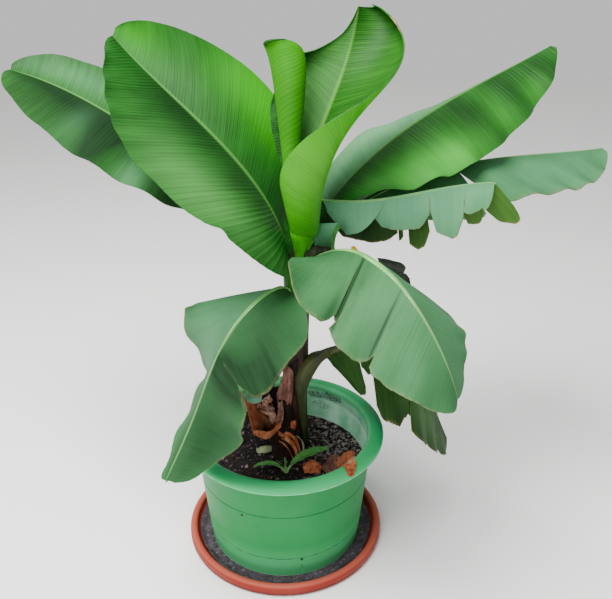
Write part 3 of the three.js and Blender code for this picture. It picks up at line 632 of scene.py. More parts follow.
def rolled(name, rows, sides, point_at, size=(100, 100)):
    """Closed tube: a grid rolled up, its seam merged and its two ends filled."""
    piece, along, around = new_grid(name, rows, sides)
    map_surface(piece, along * size[0], around * size[1])
    place_points(piece, point_at(along, around))
    edit_all(
        piece,
        lambda: bpy.ops.mesh.remove_doubles(threshold=1e-6),
        lambda: bpy.ops.mesh.fill_holes(sides=0),
        lambda: bpy.ops.mesh.normals_make_consistent(inside=False),
    )
    return piece


def draped(name, table, rows, columns, thickness=1.0, rough=0.6, seed=0, shade=(), pale=0):
    """Small sheet of leaf tissue through a table of points, crinkled and given its thickness. Its shade
    value is random mottling plus painted shade, and its top is painted paler, painted light.
    """
    piece, down, across = new_grid(name, rows, columns)
    points = through_table(table, down, across)
    crinkle = rough * dapple(down * 7 + 3, across * 7 + 3, seed) + 0.4 * rough * dapple(
        down * 19 + 3, across * 19 + 3, seed + 1)
    edge = np.minimum(across, 1 - across)
    points[:, 1] += crinkle
    points[:, 2] += 0.7 * crinkle + 0.8 * rough * ripple(down * 16, seed + 2) * (edge < 0.02)
    place_points(piece, points)
    size = np.linalg.norm(points.max(axis=0) - points.min(axis=0))
    map_surface(piece, down * size, across * size)
    paint(piece, "across", 0.5 + 0 * down)
    # Random darker mottling, then painted shade at each of the table's shade spots
    value = 0.35 * smooth(0, 1, dapple(down * 9 + 3, across * 9 + 3, seed + 4))
    for place, out_to, reach_down, reach_out, strength in shade:
        value += strength * np.exp(-((down - place) / reach_down) ** 2 - ((across - out_to) / reach_out) ** 2)
    paint(piece, "shade", value)
    # Paler towards the top, painted light
    paint(piece, "pale", pale * (1 - smooth(0.1, 0.9, down)))
    thicken(piece, thickness)
    return piece


def turned(name, profile, steps=144):
    """Body of revolution about +Z: a point is drawn out along the profile and spun round."""
    bpy.ops.object.select_all(action="DESELECT")
    bpy.ops.mesh.primitive_plane_add(size=1, location=(0, 0, 0))
    piece = named(name)
    start = (profile[0][0] * MM, 0, profile[0][1] * MM)
    edit_all(piece, lambda: bpy.ops.mesh.merge(type="CENTER"))
    piece.data.vertices[0].co = start
    only(piece)
    bpy.ops.object.mode_set(mode="EDIT")
    bpy.ops.mesh.select_all(action="SELECT")
    for (radius, height), (last_radius, last_height) in zip(profile[1:], profile):
        step = ((radius - last_radius) * MM, 0, (height - last_height) * MM)
        bpy.ops.mesh.extrude_region_move(TRANSFORM_OT_translate={"value": step})
    bpy.ops.mesh.select_all(action="SELECT")
    bpy.ops.mesh.spin(steps=steps, angle=2 * math.pi, center=(0, 0, 0), axis=(0, 0, 1))
    bpy.ops.mesh.select_all(action="SELECT")
    bpy.ops.mesh.remove_doubles(threshold=1e-5)
    bpy.ops.mesh.normals_make_consistent(inside=False)
    bpy.ops.object.mode_set(mode="OBJECT")
    return piece


def arc(radius, height, size, first, last, steps, flat=1):
    """Points of a profile's arc, from one angle to another in degrees; flat shortens its height."""
    angles = np.radians(np.linspace(first, last, steps + 1))
    return [(radius + size * math.cos(a), height + flat * size * math.sin(a)) for a in angles]


# ---- materials ----

def colour(code):
    """Linear colour of an sRGB hex code."""
    values = [int(code[i:i + 2], 16) / 255 for i in (1, 3, 5)]
    return [v / 12.92 if v <= 0.04045 else ((v + 0.055) / 1.055) ** 2.4 for v in values] + [1]


def add(tree, kind, inputs=(), output=0, stops=(), **settings):
    """Add a node with its settings, and give back one of its outputs. Inputs, by name or in order, are
    values, hex codes or outputs to link from. A Map Range takes a value, two limits and what they become."""
    node = tree.nodes.new("ShaderNode" + kind)
    for key, value in settings.items():
        setattr(node, key, value)
    for key, value in inputs.items() if isinstance(inputs, dict) else enumerate(inputs):
        if isinstance(value, bpy.types.NodeSocket):
            tree.links.new(value, node.inputs[key])
        else:
            node.inputs[key].default_value = colour(value) if isinstance(value, str) else value
    for index, (position, code) in enumerate(stops):
        ramp = node.color_ramp.elements
        stop = ramp[index] if index < len(ramp) else ramp.new(position)
        stop.position = position
        stop.color = colour(code)
    return node.outputs[output] if len(node.outputs) else None


def start_material(name):
    material = bpy.data.materials.new(name)
    material.use_nodes = True
    material.node_tree.nodes.clear()
    return material, material.node_tree


def end_material(tree, base, layers, roughness, height=None, relief=0.3, specular=0.5):
    """Lay each layer's colour over the base by its share, then join colour, roughness and relief, whose
    depth is in millimetres."""
    for share, over in layers:
        base = add(tree, "Mix", {0: share, 6: base, 7: over}, 2, data_type="RGBA")
    finish = {"Base Color": base, "Roughness": roughness, "Specular IOR Level": specular}
    if height is not None:
        finish["Normal"] = add(tree, "Bump", {"Height": height, "Distance": relief * MM})
    add(tree, "OutputMaterial", {"Surface": add(tree, "BsdfPrincipled", finish)})


def leaf_material(name, deep, bright, rib, roughness, painted_glow, pale, haze=None, bloom=0.0):
    """Banana leaf: waxy skin over parallel veins that run from rib to margin. Fine paler lines, drawn
    4 mm apart as the real 2 mm would not show, soft streaks along them, a pale band by the rib, and brown
    where the edge died. Ridge crests are painted lighter, a painted highlight, and the leaf's painted areas
    lay on painted shade, painted light and painted light glowing through the blade."""
    material, tree = start_material(name)
    surface = add(tree, "UVMap", uv_map="surface")
    place = add(tree, "TexCoord", output="Object")
    read = {kind: add(tree, "Attribute", output="Fac", attribute_name=kind)
            for kind in ("across", "drying", "painted_glow", "shade", "pale", "painted_ridge_light")}
    veins = add(tree, "TexWave", {"Vector": surface, "Scale": 2 * math.pi / (20 * VEIN_PITCH * MM),
                                  "Distortion": 1.2, "Detail": 2, "Detail Scale": 1.2}, "Fac")
    stretched = add(tree, "Mapping", {"Vector": surface, "Scale": (95, 9, 1)})
    streaks = add(tree, "TexNoise", {"Vector": stretched, "Scale": 1, "Detail": 4})
    patches = add(tree, "TexNoise", {"Vector": place, "Scale": 9, "Detail": 4})
    both = add(tree, "Math", [patches, streaks], operation="ADD")
    patchy = add(tree, "MapRange", [both, 0.8, 1.25, -0.1, 0.6])
    # Ridge crests painted lighter, a painted highlight, over random patches of tone
    ridge_highlight_and_tone = add(tree, "Math", [read["painted_ridge_light"], 0.5, patchy], operation="MULTIPLY_ADD")
    line = add(tree, "Math", [veins, 0.08 - 0.08 * bloom], operation="MULTIPLY")
    layers = [(ridge_highlight_and_tone, bright), (line, rib)]
    if haze:
        dust = add(tree, "TexNoise", {"Vector": place, "Scale": 16, "Detail": 6})
        layers.append((add(tree, "MapRange", [dust, 0.3, 0.7, bloom * 0.5, bloom]), haze))
    # Painted shade, painted light (pale) and painted glow of light through the blade, thinned along the
    # streaks
    thinned = add(tree, "MapRange", [streaks, 0.25, 0.75, 0.8, 1.0])
    for kind, code in (("shade", SHADED_GREEN), ("pale", pale), ("painted_glow", painted_glow)):
        layers.append((add(tree, "Math", [read[kind], thinned], operation="MULTIPLY"), code))
    fibres = add(tree, "TexNoise", {"Vector": place, "Scale": 120, "Detail": 3})
    brown = add(tree, "ValToRGB", [fibres], stops=[(0.3, "#3a2a18"), (0.55, "#84704a"), (0.8, "#b0a478")])
    layers += [(add(tree, "MapRange", [read["across"], 0.0, 0.035, 0.6, 0.0]), rib), (read["drying"], brown)]
    end_material(tree, deep, layers, roughness, veins, 0.12, 0.1)
    return material


def rib_material(name, green, pale):
    """Leaf stalk and midrib: smooth, watery skin with fine lengthwise lines and a darker channel above,
    and painted shade where a sheet of it is given some.
    """
    material, tree = start_material(name)
    surface = add(tree, "UVMap", uv_map="surface")
    place = add(tree, "TexCoord", output="Object")
    around = add(tree, "SeparateXYZ", [surface], "Y")
    stretched = add(tree, "Mapping", {"Vector": surface, "Scale": (12, 260, 1)})
    lines = add(tree, "TexNoise", {"Vector": stretched, "Scale": 1, "Detail": 3})
    patches = add(tree, "TexNoise", {"Vector": place, "Scale": 22, "Detail": 3})
    both = add(tree, "Math", [lines, patches], operation="MULTIPLY")
    # The channel runs a quarter of the way round the map
    off_channel = add(tree, "Math", [around, RIB_MAP_WIDTH / 4 * MM], operation="SUBTRACT")
    apart = add(tree, "Math", [off_channel], operation="ABSOLUTE")
    layers = [(add(tree, "MapRange", [both, 0.15, 0.4]), pale),
              (add(tree, "MapRange", [apart, 0.0015, 0.004, 0.75, 0.0]), green),
              (add(tree, "Attribute", output="Fac", attribute_name="shade"), SHADED_GREEN)]
    end_material(tree, green, layers, 0.5, lines, 0.3, 0.3)
    return material


# For each finish: the upper and under faces' deep and bright green, pale band by the rib, roughness, the
# green of painted glow, painted light through the blade, and the pale green of painted light, then the
# rib's two greens
LEAF_LOOKS = {
    "young": dict(
        slot="leaf_young", rib=("midrib_young", "#3f9626", "#7fbe5a"),
        top=("banana_leaf_young_upper", "#073806", "#216012", "#5e9d3e", 0.5, "#4fae06", "#74b46a"),
        under=("banana_leaf_young_under", "#268602", "#3fa406", "#86cc40", 0.5, "#6fc806", "#86c850"),
    ),
    "bright": dict(
        slot="leaf_bright", rib=("midrib_bright", "#2f7a1e", "#74b256"),
        top=("banana_leaf_bright_upper", "#07320a", "#195818", "#55903e", 0.5, "#2f9a02", "#5a9650"),
        under=("banana_leaf_bright_under", "#1c5a14", "#3a842a", "#7aac5c", 0.5, "#5fb010", "#74a860"),
    ),
    "mid": dict(
        slot="leaf_mid", rib=("midrib_mid", "#2f6e26", "#74a860"),
        top=("banana_leaf_mid_upper", "#09320b", "#1b5a19", "#5f9a4a", 0.5, "#48a83a", "#62a070"),
        under=("banana_leaf_mid_under", "#1a4e18", "#347432", "#6f9c54", 0.5, "#5fa040", "#6a9c6e"),
    ),
    "dusty": dict(
        slot="leaf_dusty", rib=("midrib_dusty", "#4a8a42", "#a2d884"),
        top=("banana_leaf_dusty_upper", "#173f1d", "#285e2c", "#7aa662", 0.6, "#5f9a4a", "#68aa82",
             "#3f7549", 0.6),
        under=("banana_leaf_dusty_under", "#244c18", "#3e6c24", "#74904c", 0.6, "#6f8a30", "#6a9478",
               "#54782e", 0.3),
    ),
    "old": dict(
        slot="leaf_old", rib=("midrib_old", "#262e10", "#565c2c"),
        top=("banana_leaf_old_upper", "#122c0c", "#244a16", "#4f6c34", 0.6, "#4f7a30", "#54804c"),
        under=("banana_leaf_old_under", "#0e260a", "#203e18", "#485e34", 0.6, "#4f6a30", "#4c7048"),
    ),
    # Light greens, set lighter still, painted light; for the sucker and one fold at the crown
    "shoot": dict(
        slot="leaf_bright", rib=("shoot_rib", "#4f9040", "#9ac486"),
        top=("banana_shoot_upper", "#2a6a2a", "#5a9a50", "#9cc486", 0.5, "#6fb83a", "#8ab884"),
        under=("banana_shoot_under", "#2a6a24", "#5a9a4a", "#9cc486", 0.5, "#6fb83a", "#8ab884"),
    ),
}
# The green that painted shade darkens to
SHADED_GREEN = "#061f08"
# For each dead tissue: its name, roughness, relief, how fine its fibres are each way, and its colours
TISSUE_LOOKS = {
    "dry": ("dry_banana_sheath", 0.75, 0.8, (90, 90, 9),
            [(0.3, "#3c1a10"), (0.42, "#94482a"), (0.55, "#c87850"), (0.72, "#e6b494")]),
    "dead": ("dead_banana_sheath", 0.8, 0.8, (90, 90, 9),
             [(0.3, "#2a1612"), (0.44, "#6a4238"), (0.56, "#9a6c5e"), (0.74, "#d4b0a0")]),
    # Near black: rotten sheaths, and the backing that stands for the shade between the curls
    "rotten": ("rotten_sheath_and_shade_backing", 0.8, 1.0, (90, 90, 9),
               [(0.32, "#060403"), (0.5, "#1c100c"), (0.64, "#3f2219"), (0.8, "#6a4636")]),
    "pale": ("bleached_banana_fibre", 0.8, 0.5, (90, 90, 9),
             [(0.3, "#5a6a40"), (0.5, "#96a074"), (0.7, "#ccd0b0")]),
    "curled": ("curled_banana_sheath", 0.8, 1.0, (160, 160, 60),
               [(0.32, "#2a1612"), (0.45, "#8a5a4a"), (0.56, "#c09684"), (0.72, "#ecd4c8")]),
    "yellow": ("yellowed_banana_leaf", 0.6, 0.3, (90, 90, 9), [(0.35, "#7a5a14"), (0.6, "#d8b428")]),
    # Near-black green of leaf edges in deep shade: painted shade
    "dark": ("leaf_edge_in_painted_shade", 0.7, 0.6, (90, 90, 9),
             [(0.35, "#050a04"), (0.6, "#0e1c0a"), (0.75, "#22341a")]),
}


def plastic_material(name, base, light, dark, roughness, marks, inside=None):
    """Moulded polypropylene, a little sun-faded: pale scuffs, specks of soil, lines of dirt or lime and
    lines of painted light and shade, and dark, broken spots."""
    material, tree = start_material(name)
    place = add(tree, "TexCoord", output="Object")
    level = add(tree, "SeparateXYZ", [place], "Z")
    patches = add(tree, "TexNoise", {"Vector": place, "Scale": 9, "Detail": 6})
    layers = [(add(tree, "MapRange", [patches, 0.4, 0.75, 0, 0.35]), light)]
    if inside:
        # The tapered inner wall is paler, partly from dried algae and dust and partly painted light for the
        # shade it lies in
        flat = add(tree, "VectorMath", [place, (1, 1, 0)], operation="MULTIPLY")
        radius = add(tree, "VectorMath", [flat], "Value", operation="LENGTH")
        taper = add(tree, "Math", [level, -POT_TAPER, radius], operation="MULTIPLY_ADD")
        algae = add(tree, "TexNoise", {"Vector": place, "Scale": 26, "Detail": 6})
        layers.append((add(tree, "MapRange", [taper, 0.153, 0.148]),
                       add(tree, "ValToRGB", [algae], stops=[(0.35, inside[1]), (0.62, inside[0])])))
    squeezed = add(tree, "Mapping", {"Vector": place, "Scale": (14, 14, 60)})
    scuffs = add(tree, "TexNoise", {"Vector": squeezed, "Scale": 3, "Detail": 6, "Roughness": 0.7})
    specks = add(tree, "TexVoronoi", {"Vector": place, "Scale": 120}, "Distance")
    chosen = add(tree, "TexNoise", {"Vector": place, "Scale": 24, "Detail": 2})
    dirt = add(tree, "Math", [add(tree, "MapRange", [specks, 0.16, 0.08]),
                              add(tree, "MapRange", [chosen, 0.62, 0.68])], operation="MULTIPLY")
    layers += [(add(tree, "MapRange", [scuffs, 0.62, 0.72, 0, 0.25]), light), (dirt, dark)]
    worn = add(tree, "TexNoise", {"Vector": place, "Scale": 70, "Detail": 3})
    kept = add(tree, "MapRange", [worn, 0.35, 0.6, 0.25, 1])
    # Lines round the wall: dirt and lime, and the painted light and shade of the table
    for height, half, strength, code in marks["lines"]:
        off = add(tree, "Math", [level, height * MM], operation="SUBTRACT")
        apart = add(tree, "Math", [off], operation="ABSOLUTE")
        line = add(tree, "MapRange", [apart, half * MM, 0.4 * half * MM, 0, strength])
        if half < WIDE_LINE:
            line = add(tree, "Math", [line, kept], operation="MULTIPLY")
        layers.append((line, code))
    flattened = add(tree, "Mapping", {"Vector": place, "Scale": (1, 1, 2.6)})
    ragged = add(tree, "TexNoise", {"Vector": flattened, "Scale": 230, "Detail": 6})
    for centre, stretch, reach, strength, broken in marks["spots"]:
        moved = add(tree, "VectorMath", [place, [v * MM for v in centre]], operation="SUBTRACT")
        squashed = add(tree, "VectorMath", [moved, stretch], operation="MULTIPLY")
        away = add(tree, "VectorMath", [squashed], "Value", operation="LENGTH")
        near = add(tree, "MapRange", [away, reach * MM, 0.3 * reach * MM])
        patch = add(tree, "Math", [near, ragged], operation="MULTIPLY")
        layers.append((add(tree, "MapRange", [patch, broken, broken + 0.12, 0, strength]), dark))
    rough = add(tree, "MapRange", [scuffs, 0, 1, roughness - 0.08, roughness + 0.14])
    end_material(tree, base, layers, rough, scuffs, 0.15, 0.12)
    return material


def soil_material(name, dark, light, grain, roughness=0.95, shown=(0.86, 0.97), dried=0.3):
    """Damp peat soil: near black, brown to purple clumps, a few grey and pinkish grains 3 to 5 mm wide."""
    material, tree = start_material(name)
    place = add(tree, "TexCoord", output="Object")
    fine = add(tree, "TexNoise", {"Vector": place, "Scale": 220, "Detail": 6})
    clumps = add(tree, "TexNoise", {"Vector": place, "Scale": 40, "Detail": 4})
    both = add(tree, "Math", [fine, clumps], operation="MULTIPLY")
    grains = add(tree, "TexVoronoi", {"Vector": place, "Scale": 190}, "Color")
    tint = add(tree, "SeparateColor", [grains], "Red")
    # More of them show on the right, where it has dried
    drier = add(tree, "MapRange", [add(tree, "SeparateXYZ", [place], "X"), 0.02, 0.09, 0, dried])
    pick = add(tree, "MapRange", [add(tree, "Math", [tint, drier], operation="ADD"), *shown])
    layers = [(add(tree, "MapRange", [both, 0.15, 0.42]), light), (pick, grain)]
    end_material(tree, dark, layers, roughness, fine, 1.5, 0.3)
    return material


def fibre_material(name, roughness, relief, scale, stops):
    """Dead leaf tissue: papery, streaked along its fibres from dark brown to straw, and darker
    where painted shade lies.
    """
    material, tree = start_material(name)
    place = add(tree, "TexCoord", output="Object")
    stretched = add(tree, "Mapping", {"Vector": place, "Scale": scale})
    streaks = add(tree, "TexNoise", {"Vector": stretched, "Scale": 2, "Detail": 6, "Roughness": 0.65})
    patches = add(tree, "TexNoise", {"Vector": place, "Scale": 28, "Detail": 3})
    both = add(tree, "Math", [streaks, patches], operation="ADD")
    half = add(tree, "Math", [both, 0.5], operation="MULTIPLY")
    # Darker by the shade value: random mottling and painted shade
    layers = [(add(tree, "Attribute", output="Fac", attribute_name="shade"), "#0d0705")]
    end_material(tree, add(tree, "ValToRGB", [half], stops=stops), layers, roughness, streaks, relief, 0.25)
    return material


def stem_material():
    """Banana false stem: overlapping leaf sheaths, dark green to black above, red-brown below."""
    material, tree = start_material("leaf_sheath_stem")
    place = add(tree, "TexCoord", output="Object")
    height = add(tree, "SeparateXYZ", [place], "Z")
    stretched = add(tree, "Mapping", {"Vector": place, "Scale": (80, 80, 7)})
    streaks = add(tree, "TexNoise", {"Vector": stretched, "Scale": 2, "Detail": 6, "Roughness": 0.6})
    brown = add(tree, "ValToRGB", [streaks], stops=[
        (0.32, "#0a0605"), (0.5, "#26160f"), (0.66, "#4a2c20"), (0.8, "#7a5a42")])
    green = add(tree, "ValToRGB", [streaks], stops=[(0.3, "#0a0d06"), (0.5, "#1b2410"), (0.75, "#3a4520")])
    wander = add(tree, "TexNoise", {"Vector": place, "Scale": 14, "Detail": 2})
    level = add(tree, "Math", [wander, 0.16, height], operation="MULTIPLY_ADD")
    end_material(tree, brown, [(add(tree, "MapRange", [level, 0.5, 0.6]), green)], 0.65, streaks, 1.2, 0.25)
    return material


def floor_material():
    """Matt paper backdrop."""
    material, tree = start_material("matt_floor_paper")
    end_material(tree, "#f4f4f2", [], 0.9)
    return material


# ---- leaves ----

def stem_share(height):
    return (height - STEM_FOOT[2]) / (STEM_TOP[2] - STEM_FOOT[2])


def stem_centre(height):
    return lerp(STEM_FOOT, STEM_TOP, np.asarray(stem_share(height))[..., None])


def leaf_course(leaf):
    """Two functions that give centre, along, side and up at shares of the stalk and of the blade."""
    if "foot" in leaf:
        foot = np.array(leaf["foot"], float)
    else:
        turn = math.radians(leaf["azimuth"])
        foot = stem_centre(leaf["height"]) + FOOT_OUT * np.array([math.cos(turn), math.sin(turn), 0])

    def stalk_angles(share):
        return (lerp(leaf["heading"][0], leaf["heading"][1], share),
                lerp(leaf["pitch"][0], leaf["pitch"][1], share ** leaf.get("bend", 1)))

    def blade_angles(share):
        return through(leaf["heading"][1:], share), through(leaf["pitch"][1:], share)

    def walk(start, length, angles):
        steps = direction(*angles((np.arange(CURVE_STEPS) + 0.5) / CURVE_STEPS)) * length / CURVE_STEPS
        return np.vstack([start, start + np.cumsum(steps, axis=0)])

    def course(points, angles, twist):
        def at(share):
            place = share * CURVE_STEPS
            step = np.minimum(place.astype(int), CURVE_STEPS - 1)
            heading, pitch = angles(share)
            along = direction(heading, pitch)
            turn = np.radians(heading)
            side = np.stack([np.sin(turn), -np.cos(turn), 0 * turn], axis=1)
            side = turn_about(side, along, -np.radians(through(twist, share)))
            centre = lerp(points[step], points[step + 1], (place - step)[:, None])
            return centre, along, side, np.cross(side, along)
        return at

    stalk = walk(foot, leaf["stalk"], stalk_angles)
    blade = walk(stalk[-1], leaf["blade"], blade_angles)
    twist = leaf.get("twist", (0, 0, 0))
    return course(stalk, stalk_angles, (twist[0],) * 3), course(blade, blade_angles, twist)


def half_width(half, share):
    skew, fullness = half.get("outline", (0.85, 0.55))
    return half["width"] * np.sin(np.pi * share ** skew) ** fullness


def blade_points(blade_at, half, hand, droop, share, across):
    """Points of a half blade at shares along the rib, each out across its own share of the width."""
    centre, along, side, up = blade_at(share)
    length = across * half_width(half, share) / CROSS_STEPS
    lift, curl = through(half["lift"], share), through(half.get("curl", (0, 0, 0)), share)
    sweep = through(half["sweep"], share) if "sweep" in half else MARGIN_SWEEP
    points = centre.copy()
    for step in range(CROSS_STEPS):
        middle = (step + 0.5) / CROSS_STEPS * across
        angle = np.radians(lift + curl * middle ** half.get("roll", 1) + droop * middle)
        points += side * (hand * np.cos(angle) * length)[:, None]
        points += up * (np.sin(angle) * length)[:, None] + along * (sweep * length)[:, None]
    return points


def lobe(leaf, blade_at, half, hand, start, end, leans, droop, reach, seed):
    """One lobe of a half blade, from a flat grid: placed by the leaf's rule, ridged and waved."""
    length = leaf["blade"]
    scale = min(1, length / FULL_BLADE)
    rows = max(8, round((end - start) * length / (ROW_PITCH * scale)))
    columns = ROLLED_COLUMNS if "roll" in half else FLAT_COLUMNS
    piece, along, crosswise = new_grid("lobe", rows, columns)
    if hand > 0:
        crosswise = 1 - crosswise
    gap = leaf.get("gap", TEAR_GAP)
    opening = gap * np.maximum(crosswise - TEAR_START, -1 if gap > 0 else 0) / (1 - TEAR_START)
    reached = np.interp(along, np.linspace(0, 1, len(reach)), reach)
    low = BLADE_START if start == 0 else start + opening + leans[0] * crosswise * reached
    high = BLADE_END if end == 1 else end - opening + leans[1] * crosswise * reached
    share = lerp(low, high, along)
    run = share * length
    width = half_width(half, share)
    # Veins slant towards the tip, least at the lobe's two ends
    slant = half.get("veins", 0.2) * crosswise * width / length * 4 * along * (1 - along)
    vein = share
    share = np.clip(share + slant * (end - start) ** 0.5, BLADE_START, BLADE_END)
    painted_at = vein if "by_vein" in half else share
    # The margin frays, and a torn lobe's corners are rounded
    fray = leaf.get("fray", 0.5) * (0.6 + 0.4 * ripple(run / 4, seed) + 0.5 * ripple(run / 11, seed + 1))
    to_tear = np.minimum(along if start > 0 else 1, (1 - along) if end < 1 else 1) * (end - start) * length
    rounding = CORNER_DEPTH * (1 - smooth(0, CORNER_REACH, to_tear))
    reached = reached - (fray + rounding) * crosswise ** 4 / np.maximum(width, 20)
    for place, depth, spread in half.get("notches", []):
        reached -= depth / np.maximum(width, 20) * np.exp(-((share - place) / spread) ** 2) * crosswise ** 3
    out = np.maximum(crosswise * reached, 0)

    def skin(share, out):
        return blade_points(blade_at, half, hand, droop, share, out)

    points = skin(share, out)
    step = 0.004
    forward = skin(np.clip(share + step, 0, 1), out) - skin(np.clip(share - step, 0, 1), out)
    outward = skin(share, out + step) - skin(share, np.maximum(out - step, 0))
    normal = np.cross(forward, outward) * -hand
    normal /= np.maximum(np.linalg.norm(normal, axis=1, keepdims=True), 1e-9)
    # Ridges follow the veins; their pitch and height wander
    phase = 2 * np.pi * run / (RIDGE_PITCH * scale) + 2.2 * ripple(run / (41 * scale), seed + 2)
    wave = np.sin(phase) * (0.62 + 0.38 * ripple(run / (19 * scale), seed + 3))
    wave *= 0.8 + 0.4 * dapple(run / 60 + 5, crosswise * 3 + 5, seed + 5)
    held = smooth(0.0, 0.06, crosswise) * (1 - 0.6 * crosswise ** 2)
    if "calm" in half:
        held = held * lerp(half["calm"][1], 1, smooth(half["calm"][0], half["calm"][0] - 0.2, crosswise))
    swing, wave_pitch, shift = half.get("waves", (0, 60, 0))
    waves = swing * crosswise ** 1.8 * np.sin(2 * np.pi * run / wave_pitch + shift)
    waves += 1.2 * scale * dapple(run / 55 + 3, crosswise * 2.2 + 3, seed + 6)
    points += normal * (half["relief"] * wave * held + waves * smooth(0, 0.3, crosswise))[:, None]
    place_points(piece, points)
    map_surface(piece, run, crosswise * width)
    band = leaf.get("dry", 0)
    edge = np.minimum((1 - crosswise) * width, np.maximum(to_tear, (0.3 - crosswise) * 200))
    patchy = 1 + 0.9 * ripple(run / 9, seed + 4) + 0.6 * dapple(run / 5, crosswise * width / 5, seed)
    drying = min(1, 1.3 * band) * (1 - smooth(0.3, 1.1, edge / np.maximum(band * patchy, 0.2)))
    paint(piece, "across", crosswise)
    # Ridge crests painted lighter, a painted highlight; then the brown of drying, and the painted glow,
    # painted shade and painted light (pale) of the half's painted areas
    paint(piece, "painted_ridge_light", 0.5 + 0.5 * wave * held)
    for kind, start_value in (("drying", drying), ("painted_glow", 0), ("shade", 0), ("pale", 0)):
        value = start_value + np.zeros(len(run))
        for place, out_to, reach_along, reach_out, strength in half.get(kind, []):
            value += strength * np.exp(-((painted_at - place) / reach_along) ** 2
                                       - ((crosswise - out_to) / reach_out) ** 2)
        paint(piece, kind, value)
    return piece


def blade(leaf, blade_at, seed):
    parts = []
    for hand, half in ((1, leaf["right"]), (-1, leaf["left"])):
        start, lobes = 0, half.get("lobes", [(1, 0, 1, 1)])
        leans = (0, *half.get("leans", [0] * (len(lobes) - 1)), 0)
        for index, (end, droop, *reach) in enumerate(lobes):
            parts.append(lobe(leaf, blade_at, half, hand, start, end, leans[index:index + 2], droop, reach,
                              seed + len(parts)))
            start = end
    return parts


def rib(leaf, stalk_at, blade_at, radii):
    """Stalk and midrib in one tapering tube with a channel along its upper side."""
    total = leaf["stalk"] + leaf["blade"]
    joint = leaf["stalk"] / total
    rows = max(24, round(total / RIB_ROW_PITCH))
    slim = leaf.get("slim", 1)

    def point_at(along, around):
        on_stalk = along < joint
        stalk_share = np.clip(along / joint, 0, 1)
        blade_share = np.clip((along - joint) / (1 - joint), 0, 1)
        pairs = zip(stalk_at(stalk_share), blade_at(blade_share))
        centre, _, side, up = [np.where(on_stalk[:, None], low, high) for low, high in pairs]
        foot, neck, tip = radii
        radius = np.where(on_stalk, lerp(foot, neck, stalk_share), lerp(neck, tip, blade_share))
        angle = 2 * np.pi * around
        above = np.sin(angle) > 0
        channel = RIB_CHANNEL * np.exp(-(np.cos(angle) / 0.5) ** 2) * above
        # Above the blade the rib is narrower than below it
        narrow = np.where(above, lerp(1, slim, smooth(0, 0.08, blade_share) * ~on_stalk), 1)
        rise = np.where(above, 0.35 + 0.65 * narrow, 1)
        height = radius * (np.sin(angle) * rise - channel) - RIB_DROP * min(1, radii[0] / STALK_RADIUS)
        return centre + side * (radius * narrow * np.cos(angle))[:, None] + up * height[:, None]

    return rolled("midrib", rows, RIB_SIDES, point_at, (total, RIB_MAP_WIDTH))


def make_leaf(leaf, seed, materials):
    stalk_at, blade_at = leaf_course(leaf)
    top, under, rib_surface = materials[leaf["finish"]]
    slot = LEAF_LOOKS[leaf["finish"]]["slot"]
    piece = join(leaf["name"] + "_blade", blade(leaf, blade_at, seed))
    dress(piece, top, under)
    thicken(piece, BLADE_THICKNESS, next_material=1)
    attach(piece, slot, leaf["name"])
    stalk = rib(leaf, stalk_at, blade_at, leaf.get("ribs", (STALK_RADIUS, NECK_RADIUS, TIP_RADIUS)))
    stalk.name = leaf["name"] + "_midrib"
    dress(stalk, rib_surface)
    soften(stalk)
    attach(stalk, slot)


def make_sucker(materials):
    top, under, rib_surface = materials["shoot"]
    sheets, ribs = [], []
    for index, (course, half) in enumerate(zip(SUCKER_LEAVES, SUCKER_HALVES)):
        leaf = dict(course, foot=SUCKER_FOOT, left=half, right=half)
        stalk_at, blade_at = leaf_course(leaf)
        sheets += blade(leaf, blade_at, 900 + 7 * index)
        ribs.append(rib(leaf, stalk_at, blade_at, SUCKER_RIBS))
    piece = join("sucker_blades", sheets)
    dress(piece, top, under)
    thicken(piece, SUCKER_THICKNESS, next_material=1)
    attach(piece, "leaf_bright", "sucker")
    stalks = join("sucker_stalks", ribs)
    dress(stalks, rib_surface)
    soften(stalks)
    attach(stalks, "leaf_bright")


# ---- stem, sheaths and dry matter ----

def stem_radius(height):
    share = np.clip(stem_share(height), 0, 1)
    foot, waist, top = STEM_RADII
    return (foot - waist) * (1 - share) ** FLARE_POWER + lerp(waist, top, share)


def make_stem(material):
    def point_at(along, around):
        height = lerp(STEM_FOOT[2], STEM_TOP[2], along)
        angle = 2 * np.pi * around
        relief = np.zeros(len(angle))
        # Sheath edges wind up the stem, each a step that fades round to the next
        for index in range(4):
            edge = index * 1.7 + height / 130
            behind = (angle - edge) % (2 * np.pi) / (2 * np.pi)
            relief += 1.1 * np.exp(-3 * behind) - 0.3
        fibres = dapple(np.cos(angle) * 9 + 20, height / 70 + np.sin(angle) * 9 + 20, 5)
        relief += 0.8 * fibres + 0.5 * dapple(around * 60, height / 28, 6) * (np.sin(np.pi * around) > 0.05)
        return stem_centre(height) + around_axis(stem_radius(height) + relief, angle)

    stem = rolled("stem_sheaths", 150, 96, point_at, STEM_MAP)
    dress(stem, material)
    soften(stem)
    attach(stem, "stem_sheath", "stem")


